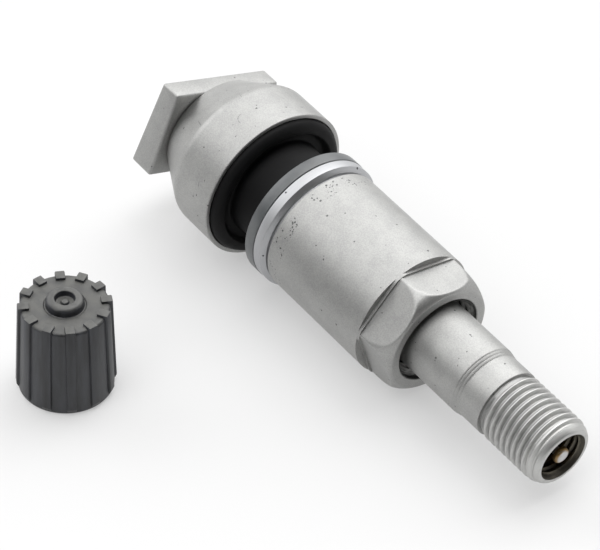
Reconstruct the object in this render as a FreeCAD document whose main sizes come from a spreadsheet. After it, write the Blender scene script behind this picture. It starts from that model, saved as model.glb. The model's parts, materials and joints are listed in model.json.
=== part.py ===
import FreeCAD, Part
import math
import os
import Sketcher

# A clamp-in tyre valve that carries a pressure sensor, lying on its side, with its dust cap
# taken off and standing beside it. Lengths are in millimetres and angles in degrees.
#
# Every piece of the valve is drawn round the Z axis, with Z = 0 at the middle of the head's
# back face and Z growing towards the valve's mouth. The dust cap is drawn standing on Z = 0.
# At the end the valve is laid down on the floor, as it comes to rest.

SIZES = {
    # head plate, where the sensor is screwed on
    "head_long": 14.6,
    "head_short": 10.3,
    "head_thick": 2.9,
    "head_slope": 3.5,
    "head_edge": 0.3,
    "screw_hole_radius": 1.65,
    "screw_hole_depth": 6.0,
    # shank with the clamping thread, and the slim stem that stands out of the nut
    "shank_radius": 4.95,
    "shank_length": 28.6,
    "shank_chamfer": 0.5,
    "stem_radius": 4.09,
    "stem_length": 16.0,
    "taper_length": 1.05,
    "neck_radius": 3.87,
    "neck_length": 2.75,
    "runout_radius": 3.35,
    "runout_width": 0.4,
    # valve thread and nose
    "valve_thread_radius": 3.85,
    "valve_thread_length": 6.35,
    "nose_length": 1.7,
    "nose_radius": 3.2,
    "mouth_radius": 2.83,
    "mouth_depth": 0.4,
    # bore for the valve core, and the air passage
    "core_thread_radius": 2.6,
    "core_thread_depth": 7.1,
    "core_seat_length": 1.2,
    "core_bore_radius": 1.8,
    "core_bore_length": 11.4,
    "passage_radius": 1.1,
    # domed cup under the rubber
    "cup_radius": 8.92,
    "cup_depth": 10.5,
    "cup_straight": 5.15,
    "cup_corner": 1.73,
    "cup_seat_radius": 6.31,
    "cup_wall": 0.5,
    "cup_recess": 5.5,
    # rubber grommet; the neck fills the hole in the wheel rim
    "grommet_neck_radius": 5.75,
    "grommet_neck_length": 5.1,
    "lip_height": 0.9,
    "lip_inner_radius": 7.1,
    "valley_radius": 6.7,
    # rings between rubber and nut
    "ring_radius": 7.69,
    "ring_thick": 1.36,
    "washer_radius": 7.64,
    "washer_thick": 1.5,
    "washer_chamfer_in": 0.5,
    "washer_chamfer_up": 0.4,
    "washer_hub_radius": 6.9,
    "washer_hub": 0.3,
    # sleeve nut
    "sleeve_radius": 7.25,
    "sleeve_edge": 0.15,
    "nut_length": 18.95,
    "hexagon_across": 12.56,
    "hexagon_length": 4.33,
    "hexagon_turn": 38.6,
    "hexagon_step": 0.25,
    "hexagon_step_length": 0.3,
    "crown_length": 3.4,
    "crown_edge_radius": 6.9,
    "crown_edge_depth": 1.1,
    "crown_edge_rounding": 1.95,
    "nut_face_radius": 6.0,
    "nut_mouth_radius": 5.13,
    "spigot_radius": 6.0,
    "spigot_lip_radius": 6.5,
    "spigot_lip": 0.4,
    "spigot_length": 1.65,
    # valve core
    "plug_top_depth": 3.3,
    "plug_length": 3.0,
    "plug_hole_radius": 1.1,
    "bridge_long": 4.4,
    "bridge_wide": 1.5,
    "bridge_tall": 1.1,
    "barrel_flange_radius": 2.1,
    "barrel_flange": 0.3,
    "barrel_wall": 0.55,
    "barrel_length": 6.6,
    "barrel_floor": 0.8,
    "gasket_length": 1.1,
    "pin_radius": 0.45,
    "pin_depth": 0.1,
    "pin_length": 14.8,
    "pin_pad_radius": 0.9,
    "pin_pad": 0.6,
    "pin_pad_edge": 0.2,
    "pin_collar_radius": 0.95,
    "pin_collar": 0.3,
    "cup_valve_radius": 1.35,
    "cup_valve_length": 1.35,
    "cup_valve_wall": 0.2,
    "seal_thick": 0.55,
    "seal_hole_radius": 0.6,
    "spring_radius": 0.8,
    "spring_wire": 0.12,
    "spring_pitch": 0.8,
    # dust cap
    "cap_height": 10.6,
    "cap_foot_radius": 4.93,
    "cap_top_radius": 4.55,
    "cap_edge": 0.35,
    "cap_foot_edge": 0.4,
    "cap_thread_radius": 3.9,
    "cap_thread_depth": 7.4,
    "cap_recess_radius": 3.5,
    "cap_recess": 0.9,
    "rib_width": 1.0,
    "rib_height": 0.2,
    "rib_count": 12,
    "rib_turn": 2.0,
    "pad_height": 0.3,
    "pad_length": 1.15,
    "boss_radius": 1.95,
    "boss_height": 0.85,
    "boss_edge": 0.55,
    "dimple_radius": 1.05,
    "dimple_depth": 0.65,
    "nub_radius": 0.45,
    "nub_height": 0.25,
    "cap_seal_thick": 0.7,
    # clearances
    "slip_gap": 0.05,
    "turn_gap": 0.05,
    # how the two things lie beside each other
    "head_roll": 18.0,
    "cap_along": 17.69,
    "cap_aside": 29.72,
}

FULL_TURN = 360
HEXAGON_SIDES = 6
SMALL = 1e-6

# How a sketch numbers its own axes, and the tips and middle of a line or arc
HORIZONTAL_AXIS, VERTICAL_AXIS = range(-1, -3, -1)
START, END, CENTRE = range(1, 4)

REVOLUTION = "PartDesign::Revolution"
GROOVE = "PartDesign::Groove"

document = FreeCAD.newDocument("tyre_valve")
sheet = document.addObject("Spreadsheet::Sheet", "size")
for row, (word, number) in enumerate(SIZES.items(), start=1):
    sheet.set(f"A{row}", word.replace("_", " "))
    sheet.set(f"B{row}", str(number))
    sheet.setAlias(f"B{row}", word)
document.recompute()

# Places along the valve, from the back of the head to the mouth
SHANK_END = "(size.head_thick + size.shank_length)"
STEM_END = f"({SHANK_END} + size.stem_length)"
TAPER_END = f"({STEM_END} + size.taper_length)"
NECK_END = f"({TAPER_END} + size.neck_length)"
THREAD_START = f"({NECK_END} + size.runout_width)"
THREAD_END = f"({THREAD_START} + size.valve_thread_length)"
MOUTH = f"({THREAD_END} + size.nose_length)"
CORE_THREAD_END = f"({MOUTH} - size.core_thread_depth)"
CORE_SEAT_END = f"({CORE_THREAD_END} - size.core_seat_length)"
CORE_BORE_END = f"({CORE_SEAT_END} - size.core_bore_length)"

CUP_RIM = "(size.head_thick + size.cup_depth)"
CUP_FLOOR = f"({CUP_RIM} - size.cup_recess)"
CUP_CORNER = f"({CUP_RIM} - size.cup_straight)"
CUP_INSIDE = "(size.cup_radius - size.cup_wall)"
OVER_SHANK = "(size.shank_radius + size.slip_gap)"

RING_BACK = f"({CUP_RIM} + size.grommet_neck_length)"
RING_FRONT = f"({RING_BACK} + size.ring_thick)"
WASHER_BACK = f"({RING_FRONT} + size.slip_gap)"
WASHER_FRONT = f"({WASHER_BACK} + size.washer_thick)"
HUB_FRONT = f"({WASHER_FRONT} + size.washer_hub)"
NUT_BACK = f"({HUB_FRONT} + size.turn_gap)"
NUT_FRONT = f"({NUT_BACK} + size.nut_length)"
HEXAGON_BACK = f"({NUT_FRONT} - size.hexagon_length)"
SPIGOT_END = f"({NUT_BACK} - size.spigot_length)"
SPIGOT_LIP_TOP = f"({SPIGOT_END} + size.spigot_lip)"

PLUG_TOP = f"({MOUTH} - size.plug_top_depth)"
PLUG_BACK = f"({PLUG_TOP} - size.plug_length)"
FLANGE_BACK = f"({PLUG_BACK} - size.barrel_flange)"
BARREL_END = f"({PLUG_BACK} - size.barrel_length)"
BARREL_FLOOR = f"({BARREL_END} + size.barrel_floor)"
BARREL_RADIUS = "(size.core_bore_radius - size.slip_gap)"
BARREL_INSIDE = f"({BARREL_RADIUS} - size.barrel_wall)"
PIN_TOP = f"({MOUTH} - size.pin_depth)"
PIN_END = f"({PIN_TOP} - size.pin_length)"
COLLAR_TOP = f"({PLUG_BACK} - size.slip_gap)"
COLLAR_BACK = f"({COLLAR_TOP} - size.pin_collar)"
SEAL_TOP = f"({BARREL_END} - size.slip_gap)"
SEAL_BACK = f"({SEAL_TOP} - size.seal_thick)"
OVER_PIN = "(size.pin_radius + size.turn_gap)"


def value(expression):
    """The number that an expression gives."""
    return float(sheet.evalExpression(expression))


def origin_feature(body, role):
    """One of the body's own origin planes or axes."""
    return next(feature for feature in body.Origin.OriginFeatures if feature.Role == role)


def new_sketch(body, name, role, offset=None):
    """A sketch on one of the body's own origin planes, moved along the plane's normal by offset."""
    sketch = body.newObject("Sketcher::SketchObject", name)
    sketch.AttachmentSupport = (origin_feature(body, role), [""])
    sketch.MapMode = "FlatFace"
    if offset is not None:
        sketch.setExpression("AttachmentOffset.Base.z", offset)
    return sketch


def bind(sketch, constraint, expression):
    """Add a constraint and tie its value to an expression."""
    index = sketch.addConstraint(constraint)
    sketch.setExpression(f"Constraints[{index}]", expression)


def arc_between(start, end, radius):
    """The short arc from start to end; it bulges to the left of the way there if radius is positive."""
    chord = end - start
    left = FreeCAD.Vector(-chord.y, chord.x, 0).normalize()
    rise = abs(radius) - math.sqrt(radius**2 - (chord.Length / 2) ** 2)
    bulge = (start + end) * 0.5 + left * math.copysign(rise, radius)
    return Part.Arc(start, bulge, end)


def draw_outline(sketch, corners):
    """A closed outline through the corners, each of them bound to its expressions.

    A corner is (radius, place), or (radius, place, arc) where the stretch that leads to it is
    round. A positive arc bulges to the left of the way there.
    """
    points = [FreeCAD.Vector(value(corner[0]), value(corner[1]), 0) for corner in corners]
    tips = []
    for index, corner in enumerate(corners):
        start = points[index - 1]
        end = points[index]
        if len(corner) == 3:
            arc = arc_between(start, end, value(corner[2]))
            sketch.addGeometry(arc)
            # an arc is kept anticlockwise, so it may run backwards along the outline
            backwards = sketch.Geometry[index].StartPoint.distanceToPoint(end) < SMALL
            tips.append((END, START) if backwards else (START, END))
        else:
            sketch.addGeometry(Part.LineSegment(start, end))
            tips.append((START, END))
    for index, corner in enumerate(corners):
        tip = tips[index][1]
        following = (index + 1) % len(corners)
        sketch.addConstraint(
            Sketcher.Constraint("Coincident", index, tip, following, tips[following][0])
        )
        for direction, expression, axis in (
            ("DistanceX", corner[0], VERTICAL_AXIS),
            ("DistanceY", corner[1], HORIZONTAL_AXIS),
        ):
            number = value(expression)
            if abs(number) < SMALL:
                sketch.addConstraint(Sketcher.Constraint("PointOnObject", index, tip, axis))
            else:
                distance = Sketcher.Constraint(
                    direction, HORIZONTAL_AXIS, START, index, tip, number
                )
                bind(sketch, distance, expression)
        if len(corner) == 3:
            radius = Sketcher.Constraint("Radius", index, abs(value(corner[2])))
            bind(sketch, radius, f"abs({corner[2]})")


def check_cut(cut, before):
    """Stop if a cut took nothing away."""
    if before - cut.Shape.Volume < SMALL:
        raise RuntimeError(f"{cut.Label} cuts nothing")


def turned(body, name, corners, kind=REVOLUTION):
    """A full turn of an outline round the Z axis: added by a Revolution, cut by a Groove."""
    before = body.Shape.Volume if kind == GROOVE else 0
    sketch = new_sketch(body, f"{name}_outline", "XZ_Plane")
    draw_outline(sketch, corners)
    feature = body.newObject(kind, name)
    feature.Profile = sketch
    feature.ReferenceAxis = (sketch, ["V_Axis"])
    feature.Angle = FULL_TURN
    document.recompute()
    if kind == GROOVE:
        check_cut(feature, before)
    return feature


def new_body(label):
    body = document.addObject("PartDesign::Body", label)
    body.Label = label
    return body


def turned_piece(label, corners):
    """A piece that is nothing but one turned outline."""
    body = new_body(label)
    turned(body, f"{label}_turning", corners)
    return body


def symmetric_pad(body, name, corners, width):
    """A pad of an outline in the XZ plane, half its width on each side."""
    sketch = new_sketch(body, f"{name}_outline", "XZ_Plane")
    draw_outline(sketch, corners)
    pad = body.newObject("PartDesign::Pad", name)
    pad.Profile = sketch
    pad.SideType = "Symmetric"
    pad.setExpression("Length", width)
    document.recompute()
    return pad


def make_valve_stem():
    """Head plate, shank, stem and threaded nose, all cut from one aluminium bar."""
    body = new_body("valve_stem")
    half = "(size.head_short / 2)"
    drop = f"({half} * tan(size.head_slope))"
    plate = symmetric_pad(
        body,
        "head_plate",
        [
            (f"-{half}", drop),
            (half, f"-{drop}"),
            (half, "size.head_thick"),
            (f"-{half}", "size.head_thick"),
        ],
        "size.head_long",
    )
    rounding = body.newObject("PartDesign::Fillet", "head_edges")
    rounding.Base = (plate, [f"Edge{index + 1}" for index in range(len(plate.Shape.Edges))])
    rounding.setExpression("Radius", "size.head_edge")
    document.recompute()
    nose_fall = "(size.valve_thread_radius - size.nose_radius)"
    turned(
        body,
        "shank_and_stem",
        [
            ("0", "size.head_thick / 2"),
            ("size.shank_radius", "size.head_thick / 2"),
            ("size.shank_radius", f"{SHANK_END} - size.shank_chamfer"),
            ("size.shank_radius - size.shank_chamfer", SHANK_END),
            ("size.stem_radius", SHANK_END),
            ("size.stem_radius", STEM_END),
            ("size.neck_radius", TAPER_END),
            ("size.neck_radius", NECK_END),
            ("size.runout_radius", NECK_END),
            ("size.runout_radius", THREAD_START),
            ("size.valve_thread_radius", THREAD_START),
            ("size.valve_thread_radius", THREAD_END),
            (
                "size.nose_radius",
                MOUTH,
                f"-(size.nose_length * size.nose_length + {nose_fall} * {nose_fall}) / (2 * {nose_fall})",
            ),
            ("0", MOUTH),
        ],
    )
    below = f"(-{drop} - size.head_thick)"
    turned(
        body,
        "bores",
        [
            ("0", below),
            ("size.screw_hole_radius", below),
            ("size.screw_hole_radius", "size.screw_hole_depth"),
            ("size.passage_radius", "size.screw_hole_depth"),
            ("size.passage_radius", CORE_BORE_END),
            ("size.core_bore_radius", CORE_BORE_END),
            ("size.core_bore_radius", CORE_SEAT_END),
            ("size.core_thread_radius", CORE_THREAD_END),
            ("size.core_thread_radius", f"{MOUTH} - size.mouth_depth"),
            ("size.mouth_radius", MOUTH),
            ("size.mouth_radius", f"{MOUTH} + size.nose_length"),
            ("0", f"{MOUTH} + size.nose_length"),
        ],
        kind=GROOVE,
    )
    return body


def make_seat_cup():
    """Domed cup: a straight rim, a round corner, then a cone down to the head plate."""
    fall = "(size.cup_radius - size.cup_seat_radius)"
    run = f"({CUP_CORNER} - size.head_thick)"
    # the cone leaves the corner's arc where the two are tangent
    reach = f"sqrt({run} * {run} + ({fall} - size.cup_corner) * ({fall} - size.cup_corner))"
    lean = f"(atan(({fall} - size.cup_corner) / {run}) + asin(size.cup_corner / {reach}))"
    return turned_piece(
        "seat_cup",
        [
            (OVER_SHANK, "size.head_thick"),
            ("size.cup_seat_radius", "size.head_thick"),
            (
                f"size.cup_radius - size.cup_corner * (1 - cos({lean}))",
                f"{CUP_CORNER} - size.cup_corner * sin({lean})",
            ),
            ("size.cup_radius", CUP_CORNER, "-size.cup_corner"),
            ("size.cup_radius", CUP_RIM),
            (CUP_INSIDE, CUP_RIM),
            (CUP_INSIDE, CUP_FLOOR),
            (OVER_SHANK, CUP_FLOOR),
        ],
    )


def make_grommet():
    """Rubber grommet: a flange that fills the cup, a rolled lip, and the neck for the rim hole."""
    lip_top = f"({CUP_RIM} + size.lip_height)"
    flange = f"({CUP_INSIDE} - size.slip_gap)"
    across = f"({flange} - size.lip_inner_radius)"
    return turned_piece(
        "grommet",
        [
            (OVER_SHANK, f"{CUP_FLOOR} + size.slip_gap"),
            (flange, f"{CUP_FLOOR} + size.slip_gap"),
            (flange, CUP_RIM),
            (
                "size.lip_inner_radius",
                lip_top,
                f"-({across} * {across} + size.lip_height * size.lip_height) / (2 * size.lip_height)",
            ),
            ("size.valley_radius", CUP_RIM),
            ("size.grommet_neck_radius", CUP_RIM),
            ("size.grommet_neck_radius", f"{RING_BACK} - size.slip_gap"),
            (OVER_SHANK, f"{RING_BACK} - size.slip_gap"),
        ],
    )


def make_slip_ring():
    """Grey plastic ring that lets the nut turn without dragging the rubber."""
    return turned_piece(
        "slip_ring",
        [
            (OVER_SHANK, RING_BACK),
            ("size.ring_radius", RING_BACK),
            ("size.ring_radius", RING_FRONT),
            (OVER_SHANK, RING_FRONT),
        ],
    )


def make_nut_washer():
    """Aluminium washer, held on the nut's spigot, chamfered towards the nut."""
    neck = "(size.spigot_radius + size.turn_gap)"
    lip = "(size.spigot_lip_radius + size.turn_gap)"
    ledge = f"({SPIGOT_LIP_TOP} + size.turn_gap)"
    return turned_piece(
        "nut_washer",
        [
            (lip, WASHER_BACK),
            ("size.washer_radius", WASHER_BACK),
            ("size.washer_radius", f"{WASHER_FRONT} - size.washer_chamfer_up"),
            ("size.washer_radius - size.washer_chamfer_in", WASHER_FRONT),
            ("size.washer_hub_radius", WASHER_FRONT),
            ("size.washer_hub_radius", HUB_FRONT),
            (neck, HUB_FRONT),
            (neck, ledge),
            (lip, ledge),
        ],
    )


def cut_hexagon(body, name, across, end):
    """Mill six flats, from beyond the nut's front down to end."""
    before = body.Shape.Volume
    sketch = new_sketch(body, f"{name}_outline", "XY_Plane", end)
    corner = f"({across} / 2 / cos(180 / {HEXAGON_SIDES}))"
    first_corner = f"{corner} * cos(size.hexagon_turn)"
    points = []
    for side in range(HEXAGON_SIDES):
        angle = math.radians(value("size.hexagon_turn") + side * FULL_TURN / HEXAGON_SIDES)
        points.append(FreeCAD.Vector(math.cos(angle), math.sin(angle), 0) * value(corner))
    for side in range(HEXAGON_SIDES):
        sketch.addGeometry(Part.LineSegment(points[side - 1], points[side]))
    middle = FreeCAD.Vector(0, 0, 0)
    up = FreeCAD.Vector(0, 0, 1)
    guide = sketch.addGeometry(Part.Circle(middle, up, value(corner)), True)
    stock = sketch.addGeometry(Part.Circle(middle, up, 2 * value(corner)))
    for side in range(HEXAGON_SIDES):
        following = (side + 1) % HEXAGON_SIDES
        sketch.addConstraint(Sketcher.Constraint("Coincident", side, END, following, START))
        sketch.addConstraint(Sketcher.Constraint("PointOnObject", side, END, guide))
        if side > 0:
            sketch.addConstraint(Sketcher.Constraint("Equal", side, 0))
    for circle in (guide, stock):
        sketch.addConstraint(
            Sketcher.Constraint("Coincident", circle, CENTRE, HORIZONTAL_AXIS, START)
        )
    bind(sketch, Sketcher.Constraint("Radius", guide, value(corner)), corner)
    bind(sketch, Sketcher.Constraint("Radius", stock, 2 * value(corner)), f"2 * {corner}")
    turn = Sketcher.Constraint(
        "DistanceX", HORIZONTAL_AXIS, START, 0, END, value(first_corner)
    )
    bind(sketch, turn, first_corner)
    pocket = body.newObject("PartDesign::Pocket", name)
    pocket.Profile = sketch
    pocket.Reversed = True
    pocket.setExpression("Length", "2 * size.hexagon_length")
    document.recompute()
    check_cut(pocket, before)


def make_sleeve_nut():
    """Long collar nut: plain sleeve, domed hexagon end, and a spigot that holds the washer."""
    body = new_body("sleeve_nut")
    bore = "(size.shank_radius + size.turn_gap)"
    crown_fall = "(size.sleeve_radius - size.crown_edge_radius)"
    crown_rise = "(size.crown_length - size.crown_edge_depth)"
    turned(
        body,
        "sleeve",
        [
            (bore, SPIGOT_END),
            ("size.spigot_lip_radius", SPIGOT_END),
            ("size.spigot_lip_radius", SPIGOT_LIP_TOP),
            ("size.spigot_radius", SPIGOT_LIP_TOP),
            ("size.spigot_radius", NUT_BACK),
            ("size.sleeve_radius - size.sleeve_edge", NUT_BACK),
            ("size.sleeve_radius", f"{NUT_BACK} + size.sleeve_edge"),
            ("size.sleeve_radius", f"{NUT_FRONT} - size.crown_length"),
            (
                "size.crown_edge_radius",
                f"{NUT_FRONT} - size.crown_edge_depth",
                f"-({crown_rise} * {crown_rise} + {crown_fall} * {crown_fall}) / (2 * {crown_fall})",
            ),
            ("size.nut_face_radius", NUT_FRONT, "-size.crown_edge_rounding"),
            ("size.nut_mouth_radius", NUT_FRONT),
            (bore, f"{NUT_FRONT} - (size.nut_mouth_radius - {bore})"),
        ],
    )
    cut_hexagon(body, "flats", "size.hexagon_across", f"({HEXAGON_BACK} + size.hexagon_step_length)")
    cut_hexagon(
        body,
        "flat_ends",
        "(size.hexagon_across + 2 * size.hexagon_step)",
        HEXAGON_BACK,
    )
    return body


def make_core_plug():
    """Threaded brass plug of the valve core, with a bridge across its top for the pin."""
    body = new_body("core_plug")
    radius = "(size.core_thread_radius - size.slip_gap)"
    ring_top = f"({PLUG_TOP} - size.bridge_tall)"
    turned(
        body,
        "plug_ring",
        [
            ("size.plug_hole_radius", PLUG_BACK),
            (radius, PLUG_BACK),
            (radius, ring_top),
            ("size.plug_hole_radius", ring_top),
        ],
    )
    half = "(size.bridge_long / 2)"
    symmetric_pad(
        body,
        "bridge",
        [
            (f"-{half}", f"{ring_top} - size.bridge_tall / 2"),
            (half, f"{ring_top} - size.bridge_tall / 2"),
            (half, PLUG_TOP),
            (f"-{half}", PLUG_TOP),
        ],
        "size.bridge_wide",
    )
    turned(
        body,
        "pin_hole",
        [
            ("0", PLUG_BACK),
            (OVER_PIN, PLUG_BACK),
            (OVER_PIN, f"{PLUG_TOP} + size.bridge_tall"),
            ("0", f"{PLUG_TOP} + size.bridge_tall"),
        ],
        kind=GROOVE,
    )
    return body


def make_core_barrel():
    """Brass barrel that hangs under the plug: it guides the pin and holds the spring."""
    return turned_piece(
        "core_barrel",
        [
            (OVER_PIN, BARREL_END),
            (BARREL_RADIUS, BARREL_END),
            (BARREL_RADIUS, FLANGE_BACK),
            ("size.barrel_flange_radius", FLANGE_BACK),
            ("size.barrel_flange_radius", PLUG_BACK),
            (BARREL_INSIDE, PLUG_BACK),
            (BARREL_INSIDE, BARREL_FLOOR),
            (OVER_PIN, BARREL_FLOOR),
        ],
    )


def make_core_gasket():
    """Sealing cone between the barrel and the tapered seat in the stem."""
    inside = f"({BARREL_RADIUS} + size.slip_gap / 2)"
    back = f"({CORE_SEAT_END} + 2 * size.slip_gap)"
    front = f"({back} + size.gasket_length)"
    taper = "((size.core_thread_radius - size.core_bore_radius) / size.core_seat_length)"
    at_back = f"(size.core_bore_radius + size.slip_gap * {taper})"
    return turned_piece(
        "core_gasket",
        [
            (inside, back),
            (at_back, back),
            (f"{at_back} + size.gasket_length * {taper}", front),
            (inside, front),
        ],
    )


def make_core_pin():
    """Steel pin: a round pad that is pressed in, and a collar that the spring pushes on."""
    return turned_piece(
        "core_pin",
        [
            ("0", PIN_END),
            ("size.pin_radius", PIN_END),
            ("size.pin_radius", COLLAR_BACK),
            ("size.pin_collar_radius", COLLAR_BACK),
            ("size.pin_collar_radius", COLLAR_TOP),
            ("size.pin_radius", COLLAR_TOP),
            ("size.pin_radius", f"{PIN_TOP} - size.pin_pad"),
            ("size.pin_pad_radius", f"{PIN_TOP} - size.pin_pad"),
            ("size.pin_pad_radius", f"{PIN_TOP} - size.pin_pad_edge"),
            ("size.pin_pad_radius - size.pin_pad_edge", PIN_TOP),
            ("0", PIN_TOP),
        ],
    )


def make_core_cup():
    """Brass cup fixed on the pin's inner end; it carries the seal."""
    cup_back = f"({SEAL_TOP} - size.cup_valve_length)"
    inside = "(size.cup_valve_radius - size.cup_valve_wall)"
    return turned_piece(
        "core_cup",
        [
            ("size.pin_radius", cup_back),
            ("size.cup_valve_radius", cup_back),
            ("size.cup_valve_radius", f"{SEAL_TOP} - size.seal_thick / 2"),
            (inside, f"{SEAL_TOP} - size.seal_thick / 2"),
            (inside, SEAL_BACK),
            ("size.pin_radius", SEAL_BACK),
        ],
    )


def make_core_seal():
    """Rubber ring in the cup; it shuts against the barrel's end."""
    outside = "(size.cup_valve_radius - size.cup_valve_wall - size.slip_gap)"
    return turned_piece(
        "core_seal",
        [
            ("size.seal_hole_radius", SEAL_BACK),
            (outside, SEAL_BACK),
            (outside, SEAL_TOP),
            ("size.seal_hole_radius", SEAL_TOP),
        ],
    )


def make_core_spring():
    """Wire spring between the barrel's floor and the pin's collar."""
    low = f"({BARREL_FLOOR} + size.spring_wire + size.slip_gap)"
    high = f"({COLLAR_BACK} - size.spring_wire - size.slip_gap)"
    helix = document.addObject("Part::Helix", "spring_line")
    helix.setExpression("Radius", "size.spring_radius")
    helix.setExpression("Pitch", "size.spring_pitch")
    helix.setExpression("Height", f"{high} - {low}")
    helix.setExpression("Placement.Base.z", low)
    wire = document.addObject("Part::Circle", "spring_section")
    wire.setExpression("Radius", "size.spring_wire")
    wire.setExpression("Placement.Base.x", "size.spring_radius")
    wire.setExpression("Placement.Base.z", low)
    climb = value("atan(size.spring_pitch / (2 * pi * size.spring_radius))")
    wire.Placement.Rotation = FreeCAD.Rotation(FreeCAD.Vector(1, 0, 0), 90 + climb)
    document.recompute()
    spring = document.addObject("Part::Sweep", "core_spring")
    spring.Label = "core_spring"
    spring.Sections = [wire]
    spring.Spine = helix
    spring.Solid = True
    spring.Frenet = True
    return spring


def make_dust_cap():
    """Moulded plastic cap: a tapered shell with ribs that rise to pads round a dimpled boss."""
    body = new_body("dust_cap")
    boss_top = "(size.cap_height + size.boss_height)"
    seal_ceiling = "(size.cap_thread_depth + size.cap_recess)"
    turned(
        body,
        "shell",
        [
            ("size.cap_thread_radius", "0"),
            ("size.cap_foot_radius - size.cap_foot_edge", "0"),
            ("size.cap_foot_radius", "size.cap_foot_edge", "-size.cap_foot_edge"),
            ("size.cap_top_radius", "size.cap_height - size.cap_edge"),
            ("size.cap_top_radius - size.cap_edge", "size.cap_height", "-size.cap_edge"),
            ("size.boss_radius", "size.cap_height"),
            ("size.boss_radius", f"{boss_top} - size.boss_edge"),
            ("size.boss_radius - size.boss_edge", boss_top, "-size.boss_edge"),
            ("size.dimple_radius", boss_top),
            ("size.dimple_radius", f"{boss_top} - size.dimple_depth"),
            ("size.nub_radius", f"{boss_top} - size.dimple_depth"),
            ("size.nub_radius", f"{boss_top} - size.dimple_depth + size.nub_height"),
            ("0", f"{boss_top} - size.dimple_depth + size.nub_height"),
            ("0", seal_ceiling),
            ("size.cap_recess_radius", seal_ceiling),
            ("size.cap_recess_radius", "size.cap_thread_depth"),
            ("size.cap_thread_radius", "size.cap_thread_depth"),
        ],
    )
    pad_top = "(size.cap_height + size.pad_height)"
    pad_inside = "(size.cap_top_radius + size.rib_height - size.pad_length)"
    rib = symmetric_pad(
        body,
        "rib",
        [
            (pad_inside, "size.cap_height - size.cap_edge"),
            ("(size.cap_thread_radius + size.cap_foot_radius) / 2", "size.cap_foot_edge"),
            ("size.cap_foot_radius + size.rib_height", "size.cap_foot_edge * 2"),
            ("size.cap_top_radius + size.rib_height", f"{pad_top} - size.pad_height / 2"),
            ("size.cap_top_radius + size.rib_height - size.pad_height / 2", pad_top),
            (pad_inside, pad_top),
        ],
        "size.rib_width",
    )
    ribs = body.newObject("PartDesign::PolarPattern", "ribs")
    ribs.Originals = [rib]
    ribs.Axis = (origin_feature(body, "Z_Axis"), [""])
    ribs.Angle = FULL_TURN
    ribs.setExpression("Occurrences", "size.rib_count")
    body.Tip = ribs
    document.recompute()
    return body


def make_cap_seal():
    """Rubber disc in the top of the cap's bore."""
    radius = "(size.cap_recess_radius - size.slip_gap)"
    ceiling = "(size.cap_thread_depth + size.cap_recess - size.slip_gap)"
    return turned_piece(
        "cap_seal",
        [
            ("0", f"{ceiling} - size.cap_seal_thick"),
            (radius, f"{ceiling} - size.cap_seal_thick"),
            (radius, ceiling),
            ("0", ceiling),
        ],
    )


def rest_tilt():
    """How far the lying valve leans, mouth down: it touches the floor at the rim of the cup
    and at the back of the nut's hexagon."""
    fall = value("size.cup_radius - size.sleeve_radius")
    return math.degrees(math.atan2(fall, value(f"{HEXAGON_BACK} - {CUP_RIM}")))


valve = [
    make_valve_stem(),
    make_seat_cup(),
    make_grommet(),
    make_slip_ring(),
    make_nut_washer(),
    make_sleeve_nut(),
    make_core_plug(),
    make_core_barrel(),
    make_core_gasket(),
    make_core_pin(),
    make_core_cup(),
    make_core_seal(),
    make_core_spring(),
]
cap = [make_dust_cap(), make_cap_seal()]
document.recompute()

# Lay the valve down along X, mouth down by the rest tilt, and stand the cap beside it
tilt = rest_tilt()
tilt_radians = math.radians(tilt)
rim_height = value(CUP_RIM) * math.sin(tilt_radians) + value("size.cup_radius") * math.cos(tilt_radians)
lying = FreeCAD.Rotation(FreeCAD.Vector(0, 1, 0), 90 + tilt)
rolled = FreeCAD.Rotation(FreeCAD.Vector(0, 0, 1), -value("size.head_roll"))
valve_place = FreeCAD.Placement(FreeCAD.Vector(0, 0, rim_height), lying * rolled)
cap_place = FreeCAD.Placement(
    FreeCAD.Vector(value("size.cap_along"), -value("size.cap_aside"), 0),
    FreeCAD.Rotation(FreeCAD.Vector(0, 0, 1), value("size.rib_turn")),
)
for piece in valve:
    piece.Placement = valve_place.multiply(piece.Placement)
for piece in cap:
    piece.Placement = cap_place
document.recompute()

# Put the origin on the floor, in the middle of everything
bounds = FreeCAD.BoundBox()
for piece in valve + cap:
    bounds.add(piece.Shape.optimalBoundingBox(False, False))
to_middle = FreeCAD.Vector(-bounds.Center.x, -bounds.Center.y, 0)
for piece in valve + cap:
    piece.Placement.move(to_middle)
document.recompute()

for item in document.Objects:
    if "Invalid" in item.State or "Error" in item.State:
        raise RuntimeError(f"{item.Label} failed to build")
for piece in valve + cap:
    if piece.Shape.isNull() or not piece.Shape.isValid() or len(piece.Shape.Solids) != 1:
        raise RuntimeError(f"{piece.Label} is not one valid solid")

os.makedirs("parts", exist_ok=True)
for piece in valve + cap:
    piece.Shape.exportStep(f"parts/{piece.Label}.step")
    print(f"{piece.Label}: {piece.Shape.Volume:.2f} mm3")
print(f"rest tilt {tilt:.3f} degrees, origin moved by {to_middle.x:.3f}, {to_middle.y:.3f}")
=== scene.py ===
import bmesh
import bpy
import json
import math
from mathutils import Matrix, Vector


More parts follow.
